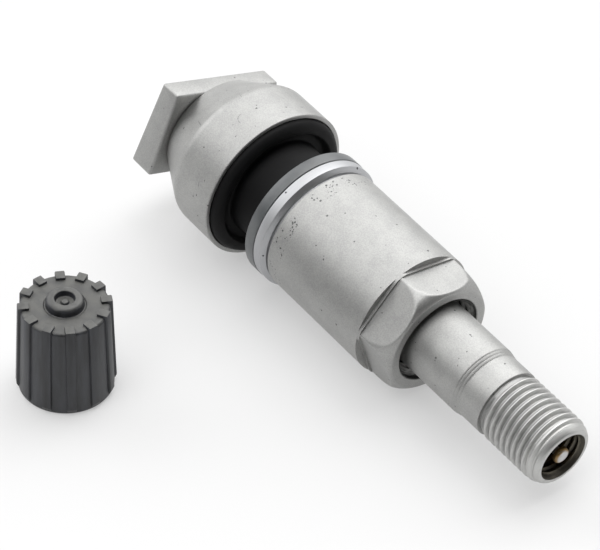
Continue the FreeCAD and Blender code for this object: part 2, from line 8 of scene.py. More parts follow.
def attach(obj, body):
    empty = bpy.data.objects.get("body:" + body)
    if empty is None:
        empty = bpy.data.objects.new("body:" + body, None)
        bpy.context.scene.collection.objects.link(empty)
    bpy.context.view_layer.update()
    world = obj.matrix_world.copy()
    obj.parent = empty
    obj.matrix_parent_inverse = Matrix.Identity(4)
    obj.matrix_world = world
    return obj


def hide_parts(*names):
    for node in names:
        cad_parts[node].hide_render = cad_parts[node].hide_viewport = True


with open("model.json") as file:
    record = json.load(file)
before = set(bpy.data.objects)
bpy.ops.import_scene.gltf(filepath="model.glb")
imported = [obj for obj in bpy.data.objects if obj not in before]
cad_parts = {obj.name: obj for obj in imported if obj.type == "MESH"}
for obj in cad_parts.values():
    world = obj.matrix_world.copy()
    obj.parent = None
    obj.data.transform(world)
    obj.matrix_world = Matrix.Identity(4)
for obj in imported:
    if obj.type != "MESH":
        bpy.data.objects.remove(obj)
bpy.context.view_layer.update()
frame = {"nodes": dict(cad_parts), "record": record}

# The valve lies on its side, mouth down, so its pieces are made standing up: in millimetres, round
# a Z axis that runs from the back of the head plate to the mouth. LAID_DOWN then carries them to
# where the frame has the valve, with the plate's long side along their Y axis.
MM = 0.001
mounts = {mount["name"]: mount for mount in frame["record"]["mounts"]}
to_mouth = Vector(mounts["valve_thread"]["axis"])
on_thread = Vector(mounts["valve_thread"]["pos_m"])
on_face = Vector(mounts["sensor_face"]["pos_m"])
head_middle = on_thread + to_mouth * (on_face - on_thread).dot(to_mouth)
plate_side = (on_face - head_middle).normalized()
turned_axes = Matrix((plate_side.cross(to_mouth), plate_side, to_mouth)).transposed()
LAID_DOWN = Matrix.Translation(head_middle) @ turned_axes.to_4x4() @ Matrix.Scale(MM, 4)


# The valve stem is one piece, turned from an aluminium bar: a milled rectangular head plate, a
# shank with the clamping thread, a slim stem, and the valve thread with its bored nose. After
# machining it was bead blasted, so it is satin grey; its thread crests have a painted highlight.
PLATE_LONG = 14.6
PLATE_SHORT = 10.3
PLATE_THICK = 2.9
PLATE_SLOPE = math.radians(3.5)
PLATE_EDGE = 0.28
SCREW_HOLE_RADIUS = 1.65
SCREW_HOLE_DEPTH = 6.0
AIR_PASSAGE_RADIUS = 1.1
AIR_PASSAGE_SHOWN = 9.0
HOLE_STEPS = 48
SQUARE_EDGE = math.radians(60)

SHANK_RADIUS = 4.95
SHANK_INSIDE = 1.75
CLAMP_THREAD_START = 18.7
CLAMP_THREAD_END = 31.5
CLAMP_PITCH = 1.0
CLAMP_DEPTH = 0.56
CLAMP_CHAMFER = 0.5
CREST_EASE = 0.05
STEM_RADIUS = 4.09
STEM_END = 47.5
NECK_START = 48.55
TAPER_EDGE = 0.02
TAPER_MARKS = 3
MARK_DEPTH = 0.05
MARK_WIDTH = 0.12
NECK_RADIUS = 3.87
NECK_END = 51.3
NECK_EDGE = 0.06
OVERLAP = 0.2

VALVE_THREAD_RADIUS = 3.85
VALVE_ROOT_RADIUS = 3.44
VALVE_PITCH = 0.794
RUNOUT_RADIUS = 3.5
RUNOUT_WIDTH = 0.3
RUNOUT_SLOPE = 1.4
NOSE_START = 58.05
NOSE_THREAD_END = 59.63
MOUTH_PLACE = 59.75
NOSE_RADIUS = 3.2
NOSE_TIP_RADIUS = 3.18
MOUTH_RADIUS = 2.83
MOUTH_DEPTH = 0.4
LIP_RADIUS = 3.1
LIP_EDGE = 0.03
CORE_CREST_RADIUS = 2.45
CORE_ROOT_RADIUS = 2.6
CORE_PITCH = 0.705
CORE_SHOWN = 53.0
CORE_MOUTH_RADIUS = 2.61
BORE_SLEEVE_RADIUS = 2.82
BORE_SLEEVE_END = 59.7

ROUND_STEPS = 144
THREAD_STEPS = 96
TINY = 1e-4
FULL_TURN = 2 * math.pi


def turn_on_lathe(corners, steps=ROUND_STEPS, corner_steps=4):
    """A new bmesh, turned from a closed outline of (radius, place, rounding) round the Z axis."""
    work = bmesh.new()
    outline = [work.verts.new((radius, 0, place)) for radius, place, _ in corners]
    work.faces.new(outline)
    for rounding in sorted({corner[2] for corner in corners if corner[2] > 0}):
        rounded = [tip for tip, corner in zip(outline, corners) if corner[2] == rounding]
        bmesh.ops.bevel(work, geom=rounded, offset=rounding, offset_type="OFFSET", affect="VERTICES",
                        segments=corner_steps, profile=0.5, clamp_overlap=True, material=-1)
    bmesh.ops.delete(work, geom=list(work.faces), context="FACES_ONLY")
    on_axis = [edge for edge in work.edges if all(abs(tip.co.x) < TINY for tip in edge.verts)]
    bmesh.ops.delete(work, geom=on_axis, context="EDGES")
    bmesh.ops.spin(work, geom=list(work.verts) + list(work.edges), cent=(0, 0, 0), axis=(0, 0, 1),
                   angle=FULL_TURN, steps=steps, use_merge=True, use_duplicate=False)
    bmesh.ops.remove_doubles(work, verts=work.verts, dist=TINY)
    return work


def cut_thread(work, tooth, pitch, start, end, limit):
    """Wind a tooth's outline of (radius, share of the pitch) into a right-hand thread.

    The thread is trimmed square at start and end, and limit(radius, place) gives the radius that
    is left of it at each place. The two open rims are returned, the start's first. The bmesh has to
    be empty at first.
    """
    turns = math.ceil((end - start) / pitch) + 3
    wire = []
    for turn in range(turns):
        for radius, share in tooth:
            wire.append(work.verts.new((radius, 0, start + (turn - 2 + share) * pitch)))
    wire_edges = [work.edges.new(pair) for pair in zip(wire, wire[1:])]
    bmesh.ops.spin(work, geom=wire_edges + wire, cent=(0, 0, 0), axis=(0, 0, 1), angle=FULL_TURN,
                   steps=THREAD_STEPS, dvec=(0, 0, pitch / THREAD_STEPS), use_merge=False,
                   use_duplicate=False)
    bmesh.ops.remove_doubles(work, verts=work.verts, dist=TINY)
    for place, outwards in ((start, -1), (end, 1)):
        everything = list(work.verts) + list(work.edges) + list(work.faces)
        bmesh.ops.bisect_plane(work, geom=everything, plane_co=(0, 0, place),
                               plane_no=(0, 0, outwards), clear_outer=True, dist=TINY)
    for tip in work.verts:
        radius = math.hypot(tip.co.x, tip.co.y)
        kept = limit(radius, tip.co.z)
        tip.co.x *= kept / radius
        tip.co.y *= kept / radius
    rims = ([], [])
    for edge in work.edges:
        if edge.is_boundary:
            for rim, place in zip(rims, (start, end)):
                if all(abs(tip.co.z - place) < TINY for tip in edge.verts):
                    rim.append(edge)
    return rims


def carry_on(work, rim, radius, place):
    """Extrude an open rim to another radius and place, and return the new rim."""
    grown = bmesh.ops.extrude_edge_only(work, edges=rim)["geom"]
    for tip in grown:
        if isinstance(tip, bmesh.types.BMVert):
            angle = math.atan2(tip.co.y, tip.co.x)
            tip.co = (radius * math.cos(angle), radius * math.sin(angle), place)
    return [edge for edge in grown if isinstance(edge, bmesh.types.BMEdge)]


def add_part(work, part):
    """Add a second bmesh to the first, with its faces outwards, and free it."""
    bmesh.ops.recalc_face_normals(part, faces=part.faces)
    loose = bpy.data.meshes.new("turned part")
    part.to_mesh(loose)
    part.free()
    work.from_mesh(loose)
    bpy.data.meshes.remove(loose)


def finish_piece(work, name, place, material, body, node, sharp=32):
    """Put a bmesh in its place as an object that rides on a body and stands for a node."""
    bmesh.ops.recalc_face_normals(work, faces=work.faces)
    work.transform(place)
    mesh = bpy.data.meshes.new(name)
    work.to_mesh(mesh)
    work.free()
    mesh.shade_smooth()
    mesh.set_sharp_from_angle(angle=math.radians(sharp))
    mesh.materials.append(material)
    piece = bpy.data.objects.new(name, mesh)
    bpy.context.scene.collection.objects.link(piece)
    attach(piece, body)
    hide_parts(node)
    return piece


def linear(hex_colour):
    """A colour written as sRGB hex, as Blender's linear red, green, blue and alpha."""
    parts = [int(hex_colour[start:start + 2], 16) / 255 for start in (1, 3, 5)]
    return [part / 12.92 if part <= 0.04045 else ((part + 0.055) / 1.055) ** 2.4 for part in parts] + [1]


def add_node(tree, kind, sockets=None, **settings):
    """Add a node, give it its settings, and fill its sockets with values or links."""
    node = tree.nodes.new(kind)
    for name, setting in settings.items():
        setattr(node, name, setting)
    for socket, source in (sockets or {}).items():
        if isinstance(source, bpy.types.NodeSocket):
            tree.links.new(source, node.inputs[socket])
        else:
            node.inputs[socket].default_value = source
    return node


def start_material(name):
    """An empty material with its tree, its output, and coordinates in millimetres along the valve."""
    material = bpy.data.materials.new(name)
    material.use_nodes = True
    tree = material.node_tree
    tree.nodes.clear()
    output = add_node(tree, "ShaderNodeOutputMaterial")
    object_place = add_node(tree, "ShaderNodeTexCoord").outputs["Object"]
    along_valve = add_node(
        tree, "ShaderNodeMapping",
        {"Vector": object_place, "Location": head_middle, "Rotation": turned_axes.to_euler(),
         "Scale": (MM, MM, MM)},
        vector_type="TEXTURE",
    ).outputs["Vector"]
    return material, tree, output, along_valve


def tool_lines(tree, along_valve, length, spacing, detail):
    """Noise drawn out round the valve, in lines of a length and a spacing, as a tool leaves them."""
    stretched = add_node(tree, "ShaderNodeMapping", {"Vector": along_valve,
                                                     "Scale": (1 / length, 1 / length, 1 / spacing)})
    return add_node(tree, "ShaderNodeTexNoise", {"Vector": stretched.outputs["Vector"], "Scale": 1.0,
                                                 "Detail": detail}).outputs["Fac"]


# Bead blasted aluminium: the beads leave a grain of about a tenth of a millimetre, which gives a
# soft highlight with a fine sparkle. Handling has left a few dark pits and hairline scratches.
BLASTED_LIGHT = "#b3b3b1"
BLASTED_DARK = "#a2a2a1"
BLASTED_PIT = "#4a4a4c"
GRAIN_SIZE = 0.13
RELIEF_DEPTH = 0.02
MOTTLE_SIZE = 1.8
MOTTLE_SHARE = 0.5
PIT_SPACING = 0.24
PIT_SIZE = 0.14
PITS_IN_RING = 0.5
PIT_PATCH_SIZE = 1.6
PIT_STRENGTH = 0.8
SCRATCH_SPACING = 5.5
SCRATCH_WIDTH = 0.003
SCRATCH_LENGTH = 1.67
SCRATCH_STRENGTH = 0.35


def lay_surface(tree, output, look, relief, strength, depth=RELIEF_DEPTH):
    """Join a surface to a material's output: its look, by shader socket, and its relief."""
    bump = add_node(tree, "ShaderNodeBump", {"Height": relief, "Strength": strength,
                                             "Distance": depth * MM})
    surface = add_node(tree, "ShaderNodeBsdfPrincipled", {**look, "Normal": bump.outputs["Normal"]})
    tree.links.new(surface.outputs["BSDF"], output.inputs["Surface"])


def blasted_aluminium(name, pits, pit_ring=None, scratches=0.0):
    """Blasted aluminium with a share of pits and scratches.

    More of the pits lie within pit_ring, which is a (from, to) place along the valve.
    """
    material, tree, output, along_valve = start_material(name)
    grain = add_node(tree, "ShaderNodeTexNoise", {"Vector": along_valve, "Scale": 1 / GRAIN_SIZE,
                                                  "Detail": 2.0, "Roughness": 0.6})
    mottle = add_node(tree, "ShaderNodeTexNoise", {"Vector": along_valve, "Scale": 1 / MOTTLE_SIZE,
                                                   "Detail": 3.0, "Roughness": 0.55})
    speckle = add_node(tree, "ShaderNodeMath", {0: mottle.outputs["Fac"], 1: MOTTLE_SHARE,
                                                2: grain.outputs["Fac"]}, operation="MULTIPLY_ADD")
    shade = add_node(tree, "ShaderNodeMapRange", {"Value": speckle.outputs[0], "From Min": 0.58,
                                                  "From Max": 0.92})
    metal = add_node(tree, "ShaderNodeMix", {"Factor": shade.outputs[0], 6: linear(BLASTED_DARK),
                                             7: linear(BLASTED_LIGHT)}, data_type="RGBA")
    # a pit is the middle of a cell of ragged outline, where the cell's random colour is low enough
    ragged = add_node(tree, "ShaderNodeTexNoise", {"Vector": along_valve, "Scale": 1 / PIT_SIZE,
                                                   "Detail": 1.0})
    bent = add_node(tree, "ShaderNodeVectorMath", {0: ragged.outputs["Color"], 1: (PIT_SIZE,) * 3,
                                                   2: along_valve}, operation="MULTIPLY_ADD")
    cells = add_node(tree, "ShaderNodeTexVoronoi", {"Vector": bent.outputs["Vector"],
                                                    "Scale": 1 / PIT_SPACING, "Randomness": 1.0})
    lot = add_node(tree, "ShaderNodeSeparateColor", {"Color": cells.outputs["Color"]})
    share = pits
    if pit_ring:
        place = add_node(tree, "ShaderNodeSeparateXYZ", {"Vector": along_valve}).outputs["Z"]
        middle = sum(pit_ring) / 2
        half = (pit_ring[1] - pit_ring[0]) / 2
        ring = add_node(tree, "ShaderNodeMath", {0: place, 1: middle, 2: half}, operation="COMPARE")
        more = add_node(tree, "ShaderNodeMath", {0: ring.outputs[0], 1: PITS_IN_RING, 2: pits},
                        operation="MULTIPLY_ADD")
        share = more.outputs[0]
    patches = add_node(tree, "ShaderNodeTexNoise", {"Vector": along_valve, "Scale": 1 / PIT_PATCH_SIZE})
    crowded = add_node(tree, "ShaderNodeMapRange", {"Value": patches.outputs["Fac"], "From Min": 0.45,
                                                    "From Max": 0.65, "To Max": 2.0})
    local_share = add_node(tree, "ShaderNodeMath", {0: crowded.outputs[0], 1: share},
                           operation="MULTIPLY")
    chosen = add_node(tree, "ShaderNodeMath", {0: lot.outputs["Red"], 1: local_share.outputs[0]},
                      operation="LESS_THAN")
    size = add_node(tree, "ShaderNodeMath", {0: lot.outputs["Green"], 1: PIT_SIZE / PIT_SPACING},
                    operation="MULTIPLY")
    hollow = add_node(tree, "ShaderNodeMath", {0: cells.outputs["Distance"], 1: size.outputs[0]},
                      operation="LESS_THAN")
    pit = add_node(tree, "ShaderNodeMath", {0: chosen.outputs[0], 1: hollow.outputs[0]},
                   operation="MULTIPLY")
    # a scratch follows the line on which a slow noise is just half, where a second noise is high
    drift = add_node(tree, "ShaderNodeTexNoise", {"Vector": along_valve, "Scale": 1 / SCRATCH_SPACING,
                                                  "Detail": 0.5, "Distortion": 0.2})
    line = add_node(tree, "ShaderNodeMath", {0: drift.outputs["Fac"], 1: 0.5, 2: SCRATCH_WIDTH},
                    operation="COMPARE")
    where = add_node(tree, "ShaderNodeTexNoise", {"Vector": along_valve, "Scale": 1 / SCRATCH_LENGTH})
    kept = add_node(tree, "ShaderNodeMath", {0: where.outputs["Fac"], 1: 1 - scratches},
                    operation="GREATER_THAN")
    scratch = add_node(tree, "ShaderNodeMath", {0: line.outputs[0], 1: kept.outputs[0]},
                       operation="MULTIPLY")
    faint = add_node(tree, "ShaderNodeMath", {0: scratch.outputs[0], 1: SCRATCH_STRENGTH},
                     operation="MULTIPLY")
    dull = add_node(tree, "ShaderNodeMath", {0: pit.outputs[0], 1: PIT_STRENGTH}, operation="MULTIPLY")
    mark = add_node(tree, "ShaderNodeMath", {0: dull.outputs[0], 1: faint.outputs[0]},
                    operation="MAXIMUM")
    colour = add_node(tree, "ShaderNodeMix", {"Factor": mark.outputs[0], 6: metal.outputs[2],
                                              7: linear(BLASTED_PIT)}, data_type="RGBA")
    roughness = add_node(tree, "ShaderNodeMapRange", {"Value": mottle.outputs["Fac"], "To Min": 0.50,
                                                      "To Max": 0.54})
    relief = add_node(tree, "ShaderNodeMath", {0: grain.outputs["Fac"], 1: mark.outputs[0]},
                      operation="SUBTRACT")
    look = {"Base Color": colour.outputs[2], "Metallic": 1.0, "Roughness": roughness.outputs[0]}
    lay_surface(tree, output, look, relief.outputs[0], strength=0.12)
    return material


# Cut threads aren't blasted. Their crests carry a painted highlight and their roots painted shade,
# which draws each turn as a thin bright line. The fine lines of the tool run round them.
CUT_LINE_LENGTH = 0.833
CUT_LINE_SPACING = 0.0714
CREST_HIGHLIGHT = "#c4c4c2"
CREST_GREY = "#9c9c9a"
ROOT_SHADE_GREY = "#a4a4a3"
ROOT_SHADE_DARK = "#40403f"
# inside the bore the colours are painted shade, dark brown-grey, a little lighter on the crests
BORE_SHADE_DARK = "#4b4842"
BORE_SHADE_BROWN = "#7c776b"


def cut_metal(name, dull_radius, bright_radius, dull_colour, bright_colour, bright_from):
    """Cut metal that brightens from one radius to another, and is bright from a place onwards."""
    material, tree, output, along_valve = start_material(name)
    across = add_node(tree, "ShaderNodeVectorMath", {0: along_valve, 1: (1, 1, 0)}, operation="MULTIPLY")
    radius = add_node(tree, "ShaderNodeVectorMath", {0: across.outputs["Vector"]}, operation="LENGTH")
    # The colour brightens from the root radius to the crest radius, and is bright all over past
    # bright_from. On the threads this is painted shade in the roots and a painted highlight on the
    # crests and the nose; on the pin it is brass plating worn off its pad.
    height = add_node(tree, "ShaderNodeMapRange", {
        "Value": radius.outputs["Value"], "From Min": dull_radius, "From Max": bright_radius})
    place = add_node(tree, "ShaderNodeSeparateXYZ", {"Vector": along_valve}).outputs["Z"]
    past = add_node(tree, "ShaderNodeMath", {0: place, 1: bright_from}, operation="GREATER_THAN")
    lightened = add_node(tree, "ShaderNodeMath", {0: height.outputs[0], 1: past.outputs[0]},
                      operation="MAXIMUM")
    lines = tool_lines(tree, along_valve, CUT_LINE_LENGTH, CUT_LINE_SPACING, 3.0)
    uneven = add_node(tree, "ShaderNodeMapRange", {"Value": lines, "From Min": 0.35, "From Max": 0.65,
                                                   "To Min": -0.3, "To Max": 0.3})
    noisy_lightening = add_node(tree, "ShaderNodeMath", {0: lightened.outputs[0], 1: uneven.outputs[0]})
    colour = add_node(tree, "ShaderNodeMix", {"Factor": noisy_lightening.outputs[0], 6: linear(dull_colour),
                                              7: linear(bright_colour)}, data_type="RGBA")
    look = {"Base Color": colour.outputs[2], "Metallic": 1.0, "Roughness": 0.5}
    lay_surface(tree, output, look, lines, strength=0.5)
    return material


work = bmesh.new()
hole_rim = bmesh.ops.create_circle(work, cap_ends=False, radius=SCREW_HOLE_RADIUS,
                                   segments=HOLE_STEPS)["verts"]
hole_edges = list({edge for tip in hole_rim for edge in tip.link_edges})
half_short = PLATE_SHORT / 2
half_long = PLATE_LONG / 2
plate_corners = [work.verts.new((side * half_short, end * half_long, 0))
                 for side, end in ((1, 1), (-1, 1), (-1, -1), (1, -1))]
plate_sides = [work.edges.new((plate_corners[index - 1], plate_corners[index])) for index in range(4)]
bmesh.ops.subdivide_edges(work, edges=plate_sides, cuts=HOLE_STEPS // 4 - 1)
plate_rim = [edge for edge in work.edges if edge not in hole_edges]
bmesh.ops.bridge_loops(work, edges=hole_edges + plate_rim)
front = bmesh.ops.extrude_edge_only(work, edges=plate_rim)["geom"]
for tip in front:
    if isinstance(tip, bmesh.types.BMVert):
        tip.co.z = PLATE_THICK
bmesh.ops.contextual_create(work, geom=[edge for edge in front if isinstance(edge, bmesh.types.BMEdge)])
for tip in work.verts:
    if tip.co.z < TINY:
        tip.co.z = -math.tan(PLATE_SLOPE) * tip.co.x
bmesh.ops.recalc_face_normals(work, faces=work.faces)
sharp_edges = [edge for edge in work.edges
               if not edge.is_boundary and edge.calc_face_angle(0) > SQUARE_EDGE]
bmesh.ops.bevel(work, geom=sharp_edges, offset=PLATE_EDGE, offset_type="OFFSET", affect="EDGES",
                segments=3, profile=0.5, clamp_overlap=True, material=-1)
hole_edges = [edge for edge in work.edges if edge.is_boundary]
hole_edges = carry_on(work, hole_edges, SCREW_HOLE_RADIUS, SCREW_HOLE_DEPTH)
hole_edges = carry_on(work, hole_edges, AIR_PASSAGE_RADIUS, SCREW_HOLE_DEPTH)
hole_edges = carry_on(work, hole_edges, AIR_PASSAGE_RADIUS, AIR_PASSAGE_SHOWN)
bmesh.ops.contextual_create(work, geom=hole_edges)

# the shank up to its thread, as a ring round the screw hole
add_part(work, turn_on_lathe([
    (SHANK_INSIDE, PLATE_THICK - OVERLAP, 0),
    (SHANK_RADIUS, PLATE_THICK - OVERLAP, 0),
    (SHANK_RADIUS, CLAMP_THREAD_START, 0),
    (SHANK_INSIDE, CLAMP_THREAD_START, 0),
]))
# the slim stem, its taper with the marks of the tool, and its neck, down to the valve thread
tool_marks = []
for mark in range(TAPER_MARKS):
    share = (mark + 0.5) / TAPER_MARKS
    middle = STEM_RADIUS + (NECK_RADIUS - STEM_RADIUS) * share
    mark_place = STEM_END + (NECK_START - STEM_END) * share
    tool_marks.append((middle, mark_place - MARK_WIDTH / 2, 0))
    tool_marks.append((middle - MARK_DEPTH, mark_place, 0))
    tool_marks.append((middle, mark_place + MARK_WIDTH / 2, 0))
add_part(work, turn_on_lathe([
    (CORE_ROOT_RADIUS, CLAMP_THREAD_END - CLAMP_PITCH, 0),
    (STEM_RADIUS, CLAMP_THREAD_END - CLAMP_PITCH, 0),
    (STEM_RADIUS, STEM_END, TAPER_EDGE),
    *tool_marks,
    (NECK_RADIUS, NECK_START, TAPER_EDGE),
    (NECK_RADIUS, NECK_END, NECK_EDGE),
    (CORE_ROOT_RADIUS, NECK_END, 0),
]))


def clamp_limit(radius, place):
    """The clamping thread, chamfered at its front end."""
    return min(radius, SHANK_RADIUS - CLAMP_CHAMFER + (CLAMP_THREAD_END - place))


# the root of a tooth lies round the start of its pitch, and its crest round the middle
CLAMP_TOOTH = [(SHANK_RADIUS - CLAMP_DEPTH, -0.08), (SHANK_RADIUS - CLAMP_DEPTH, 0.08),
               (SHANK_RADIUS - CREST_EASE, 0.42), (SHANK_RADIUS, 0.46), (SHANK_RADIUS, 0.54),
               (SHANK_RADIUS - CREST_EASE, 0.58)]
clamp = bmesh.new()
back_rim, front_rim = cut_thread(clamp, CLAMP_TOOTH, CLAMP_PITCH, CLAMP_THREAD_START, CLAMP_THREAD_END,
                                 clamp_limit)
back_rim = carry_on(clamp, back_rim, CORE_ROOT_RADIUS, CLAMP_THREAD_START)
front_rim = carry_on(clamp, front_rim, CORE_ROOT_RADIUS, CLAMP_THREAD_END)
bmesh.ops.bridge_loops(clamp, edges=back_rim + front_rim)
add_part(work, clamp)

NOSE_FALL = VALVE_THREAD_RADIUS - NOSE_RADIUS
NOSE_LENGTH = MOUTH_PLACE - NOSE_START
NOSE_ROUND = (NOSE_LENGTH**2 + NOSE_FALL**2) / (2 * NOSE_FALL)


def valve_limit(radius, place):
    """The valve thread, after its run-out groove and before its rounded nose."""
    if place < NOSE_START:
        rise = max(0, place - NECK_END - RUNOUT_WIDTH)
        return min(radius, RUNOUT_RADIUS + RUNOUT_SLOPE * rise)
    drop = NOSE_ROUND - math.sqrt(NOSE_ROUND**2 - (place - NOSE_START) ** 2)
    return min(radius, VALVE_THREAD_RADIUS - drop)


VALVE_FLANK_RADIUS = VALVE_ROOT_RADIUS + 0.2
VALVE_TOOTH = [(VALVE_ROOT_RADIUS + LIP_EDGE, -0.14), (VALVE_ROOT_RADIUS, -0.05),
               (VALVE_ROOT_RADIUS, 0.05), (VALVE_ROOT_RADIUS + LIP_EDGE, 0.14),
               (VALVE_FLANK_RADIUS, 0.27), (VALVE_THREAD_RADIUS - LIP_EDGE, 0.39),
               (VALVE_THREAD_RADIUS, 0.43), (VALVE_THREAD_RADIUS, 0.57),
               (VALVE_THREAD_RADIUS - LIP_EDGE, 0.61), (VALVE_FLANK_RADIUS, 0.73)]
nose = bmesh.new()
back_rim, front_rim = cut_thread(nose, VALVE_TOOTH, VALVE_PITCH, NECK_END, NOSE_THREAD_END, valve_limit)
back_rim = carry_on(nose, back_rim, CORE_ROOT_RADIUS, NECK_END)
# from the thread's end round the lip and back down the bore
for radius, place in (
    (NOSE_TIP_RADIUS, MOUTH_PLACE - LIP_EDGE),
    (LIP_RADIUS, MOUTH_PLACE),
    (MOUTH_RADIUS + LIP_EDGE, MOUTH_PLACE),
    (MOUTH_RADIUS, MOUTH_PLACE - LIP_EDGE),
    (MOUTH_RADIUS, NECK_END + OVERLAP),
):
    front_rim = carry_on(nose, front_rim, radius, place)
bmesh.ops.bridge_loops(nose, edges=back_rim + front_rim)


def core_limit(radius, place):
    """The core's thread in the bore, opened out by the countersink of the mouth."""
    return max(radius, CORE_MOUTH_RADIUS - (MOUTH_PLACE - MOUTH_DEPTH - place))


CORE_TOOTH = [(CORE_ROOT_RADIUS, -0.1), (CORE_ROOT_RADIUS, 0.1), (CORE_CREST_RADIUS, 0.42),
              (CORE_CREST_RADIUS, 0.58)]
bore = bmesh.new()
back_rim, front_rim = cut_thread(bore, CORE_TOOTH, CORE_PITCH, CORE_SHOWN, MOUTH_PLACE - MOUTH_DEPTH,
                                 core_limit)
back_rim = carry_on(bore, back_rim, BORE_SLEEVE_RADIUS, CORE_SHOWN)
front_rim = carry_on(bore, front_rim, BORE_SLEEVE_RADIUS, BORE_SLEEVE_END)
bmesh.ops.bridge_loops(bore, edges=back_rim + front_rim)
stem_aluminium = blasted_aluminium("blasted aluminium of the stem", pits=0.012)
finish_piece(work, "stem_turned", LAID_DOWN, stem_aluminium, "stem", "valve_stem")
# painted highlight on the thread's crests and all over its nose, painted shade in its roots
nose_aluminium = cut_metal("cut aluminium of the valve thread", VALVE_ROOT_RADIUS,
                           VALVE_THREAD_RADIUS, ROOT_SHADE_GREY, CREST_HIGHLIGHT, NOSE_START)
finish_piece(nose, "valve_thread_cut", LAID_DOWN, nose_aluminium, "stem", "valve_stem")
# the bore is painted dark brown-grey as the shade inside it, a little lighter on the thread's crests
bore_shaded_aluminium = cut_metal("aluminium of the bore, painted dark with shade", CORE_ROOT_RADIUS, CORE_CREST_RADIUS,
                           BORE_SHADE_DARK, BORE_SHADE_BROWN, MOUTH_PLACE)
finish_piece(bore, "bore_thread_cut", LAID_DOWN, bore_shaded_aluminium, "stem", "valve_stem")


# The seat cup is turned from aluminium and blasted like the stem. It stands on the head plate,
# and its rim is turned to a thin edge round the rubber.
CUP_RADIUS = 8.92
CUP_RIM = 13.4
CUP_CORNER_PLACE = 8.25
CUP_CORNER_ROUND = 1.73
CUP_CORNER_STEPS = 14
CUP_SEAT_RADIUS = 6.31
CUP_SEAT_EDGE = 0.25
CUP_WALL = 0.5
CUP_RIM_EDGES = (0.12, 0.1)
CUP_FLOOR = 7.9
SLIP_GAP = 0.05

# the corner is an arc from the sloping dome to the straight rim, and this is how far it reaches
fall = CUP_RADIUS - CUP_SEAT_RADIUS - CUP_CORNER_ROUND
run = CUP_CORNER_PLACE - PLATE_THICK
lean = math.atan2(fall, run) + math.asin(CUP_CORNER_ROUND / math.hypot(fall, run))
corner_reach = CUP_CORNER_ROUND * math.tan(lean / 2)
work = turn_on_lathe([
    (SHANK_RADIUS + SLIP_GAP, PLATE_THICK, 0),
    (CUP_SEAT_RADIUS, PLATE_THICK, CUP_SEAT_EDGE),
    (CUP_RADIUS, CUP_CORNER_PLACE - corner_reach, corner_reach),
    (CUP_RADIUS, CUP_RIM, CUP_RIM_EDGES[0]),
    (CUP_RADIUS - CUP_WALL, CUP_RIM, CUP_RIM_EDGES[1]),
    (CUP_RADIUS - CUP_WALL, CUP_FLOOR, 0),
    (SHANK_RADIUS + SLIP_GAP, CUP_FLOOR, 0),
], corner_steps=CUP_CORNER_STEPS)
cup_aluminium = blasted_aluminium("blasted aluminium of the cup", pits=0.02, scratches=0.4)
finish_piece(work, "seat_cup_spun", LAID_DOWN, cup_aluminium, "stem", "seat_cup")


# The grommet is moulded in black rubber. Its flange fills the cup and rolls over in a soft lip,
# and its neck fills the hole of a wheel rim.
FLANGE_RADIUS = CUP_RADIUS - CUP_WALL - SLIP_GAP
FLANGE_BACK_ROUND = 0.3
FLANGE_FRONT = 14.15
FLANGE_FRONT_ROUND = 0.7
GROMMET_LIP = 14.3
GROMMET_LIP_RADIUS = 7.1
GROMMET_LIP_ROUND = 0.1
VALLEY_RADIUS = 6.7
VALLEY_ROUND = 0.25
GROMMET_NECK_RADIUS = 5.75
GROMMET_NECK_ROUND = 0.3
RING_BACK = 18.5
DUST_SIZE = 1.43
SKIN_SIZE = 0.167
RUBBER_BLACK = "#0d0d0e"
RUBBER_GREY = "#161617"


def moulded_rubber(name):
    """Moulded black rubber: deep black, faintly dusty, with a wide dull sheen."""
    material, tree, output, along_valve = start_material(name)
    dust = add_node(tree, "ShaderNodeTexNoise", {"Vector": along_valve, "Scale": 1 / DUST_SIZE,
                                                 "Detail": 5.0, "Roughness": 0.6})
    colour = add_node(tree, "ShaderNodeMix", {"Factor": dust.outputs["Fac"], 6: linear(RUBBER_BLACK),
                                              7: linear(RUBBER_GREY)}, data_type="RGBA")
    skin = add_node(tree, "ShaderNodeTexNoise", {"Vector": along_valve, "Scale": 1 / SKIN_SIZE,
                                                 "Detail": 3.0})
    roughness = add_node(tree, "ShaderNodeMapRange", {"Value": dust.outputs["Fac"], "To Min": 0.5,
                                                      "To Max": 0.7})
    look = {"Base Color": colour.outputs[2], "Roughness": roughness.outputs[0],
            "Specular IOR Level": 0.14, "IOR": 1.52}
    lay_surface(tree, output, look, skin.outputs["Fac"], strength=0.3)
    return material


work = turn_on_lathe([
    (SHANK_RADIUS + SLIP_GAP, CUP_FLOOR + SLIP_GAP, 0),
    (FLANGE_RADIUS, CUP_FLOOR + SLIP_GAP, FLANGE_BACK_ROUND),
    (FLANGE_RADIUS, FLANGE_FRONT, FLANGE_FRONT_ROUND),
    (GROMMET_LIP_RADIUS, GROMMET_LIP, GROMMET_LIP_ROUND),
    (VALLEY_RADIUS, CUP_RIM, VALLEY_ROUND),
    (GROMMET_NECK_RADIUS, CUP_RIM, GROMMET_NECK_ROUND),
    (GROMMET_NECK_RADIUS, RING_BACK - SLIP_GAP, SLIP_GAP),
    (SHANK_RADIUS + SLIP_GAP, RING_BACK - SLIP_GAP, 0),
])
black_rubber = moulded_rubber("moulded black rubber")
finish_piece(work, "grommet_moulded", LAID_DOWN, black_rubber, "stem", "grommet")


# The slip ring is turned from grey nylon. It lets the nut turn without dragging the rubber.
RING_THICK = 1.36
RING_FRONT = RING_BACK + RING_THICK
RING_RADIUS = 7.69
RING_EDGE = 0.12
NYLON_CLOUD_SIZE = 2.0
NYLON_LINE_LENGTH = 2.5
NYLON_LINE_SPACING = 0.111
NYLON_GREY = "#5a5e60"
NYLON_DARK = "#333638"


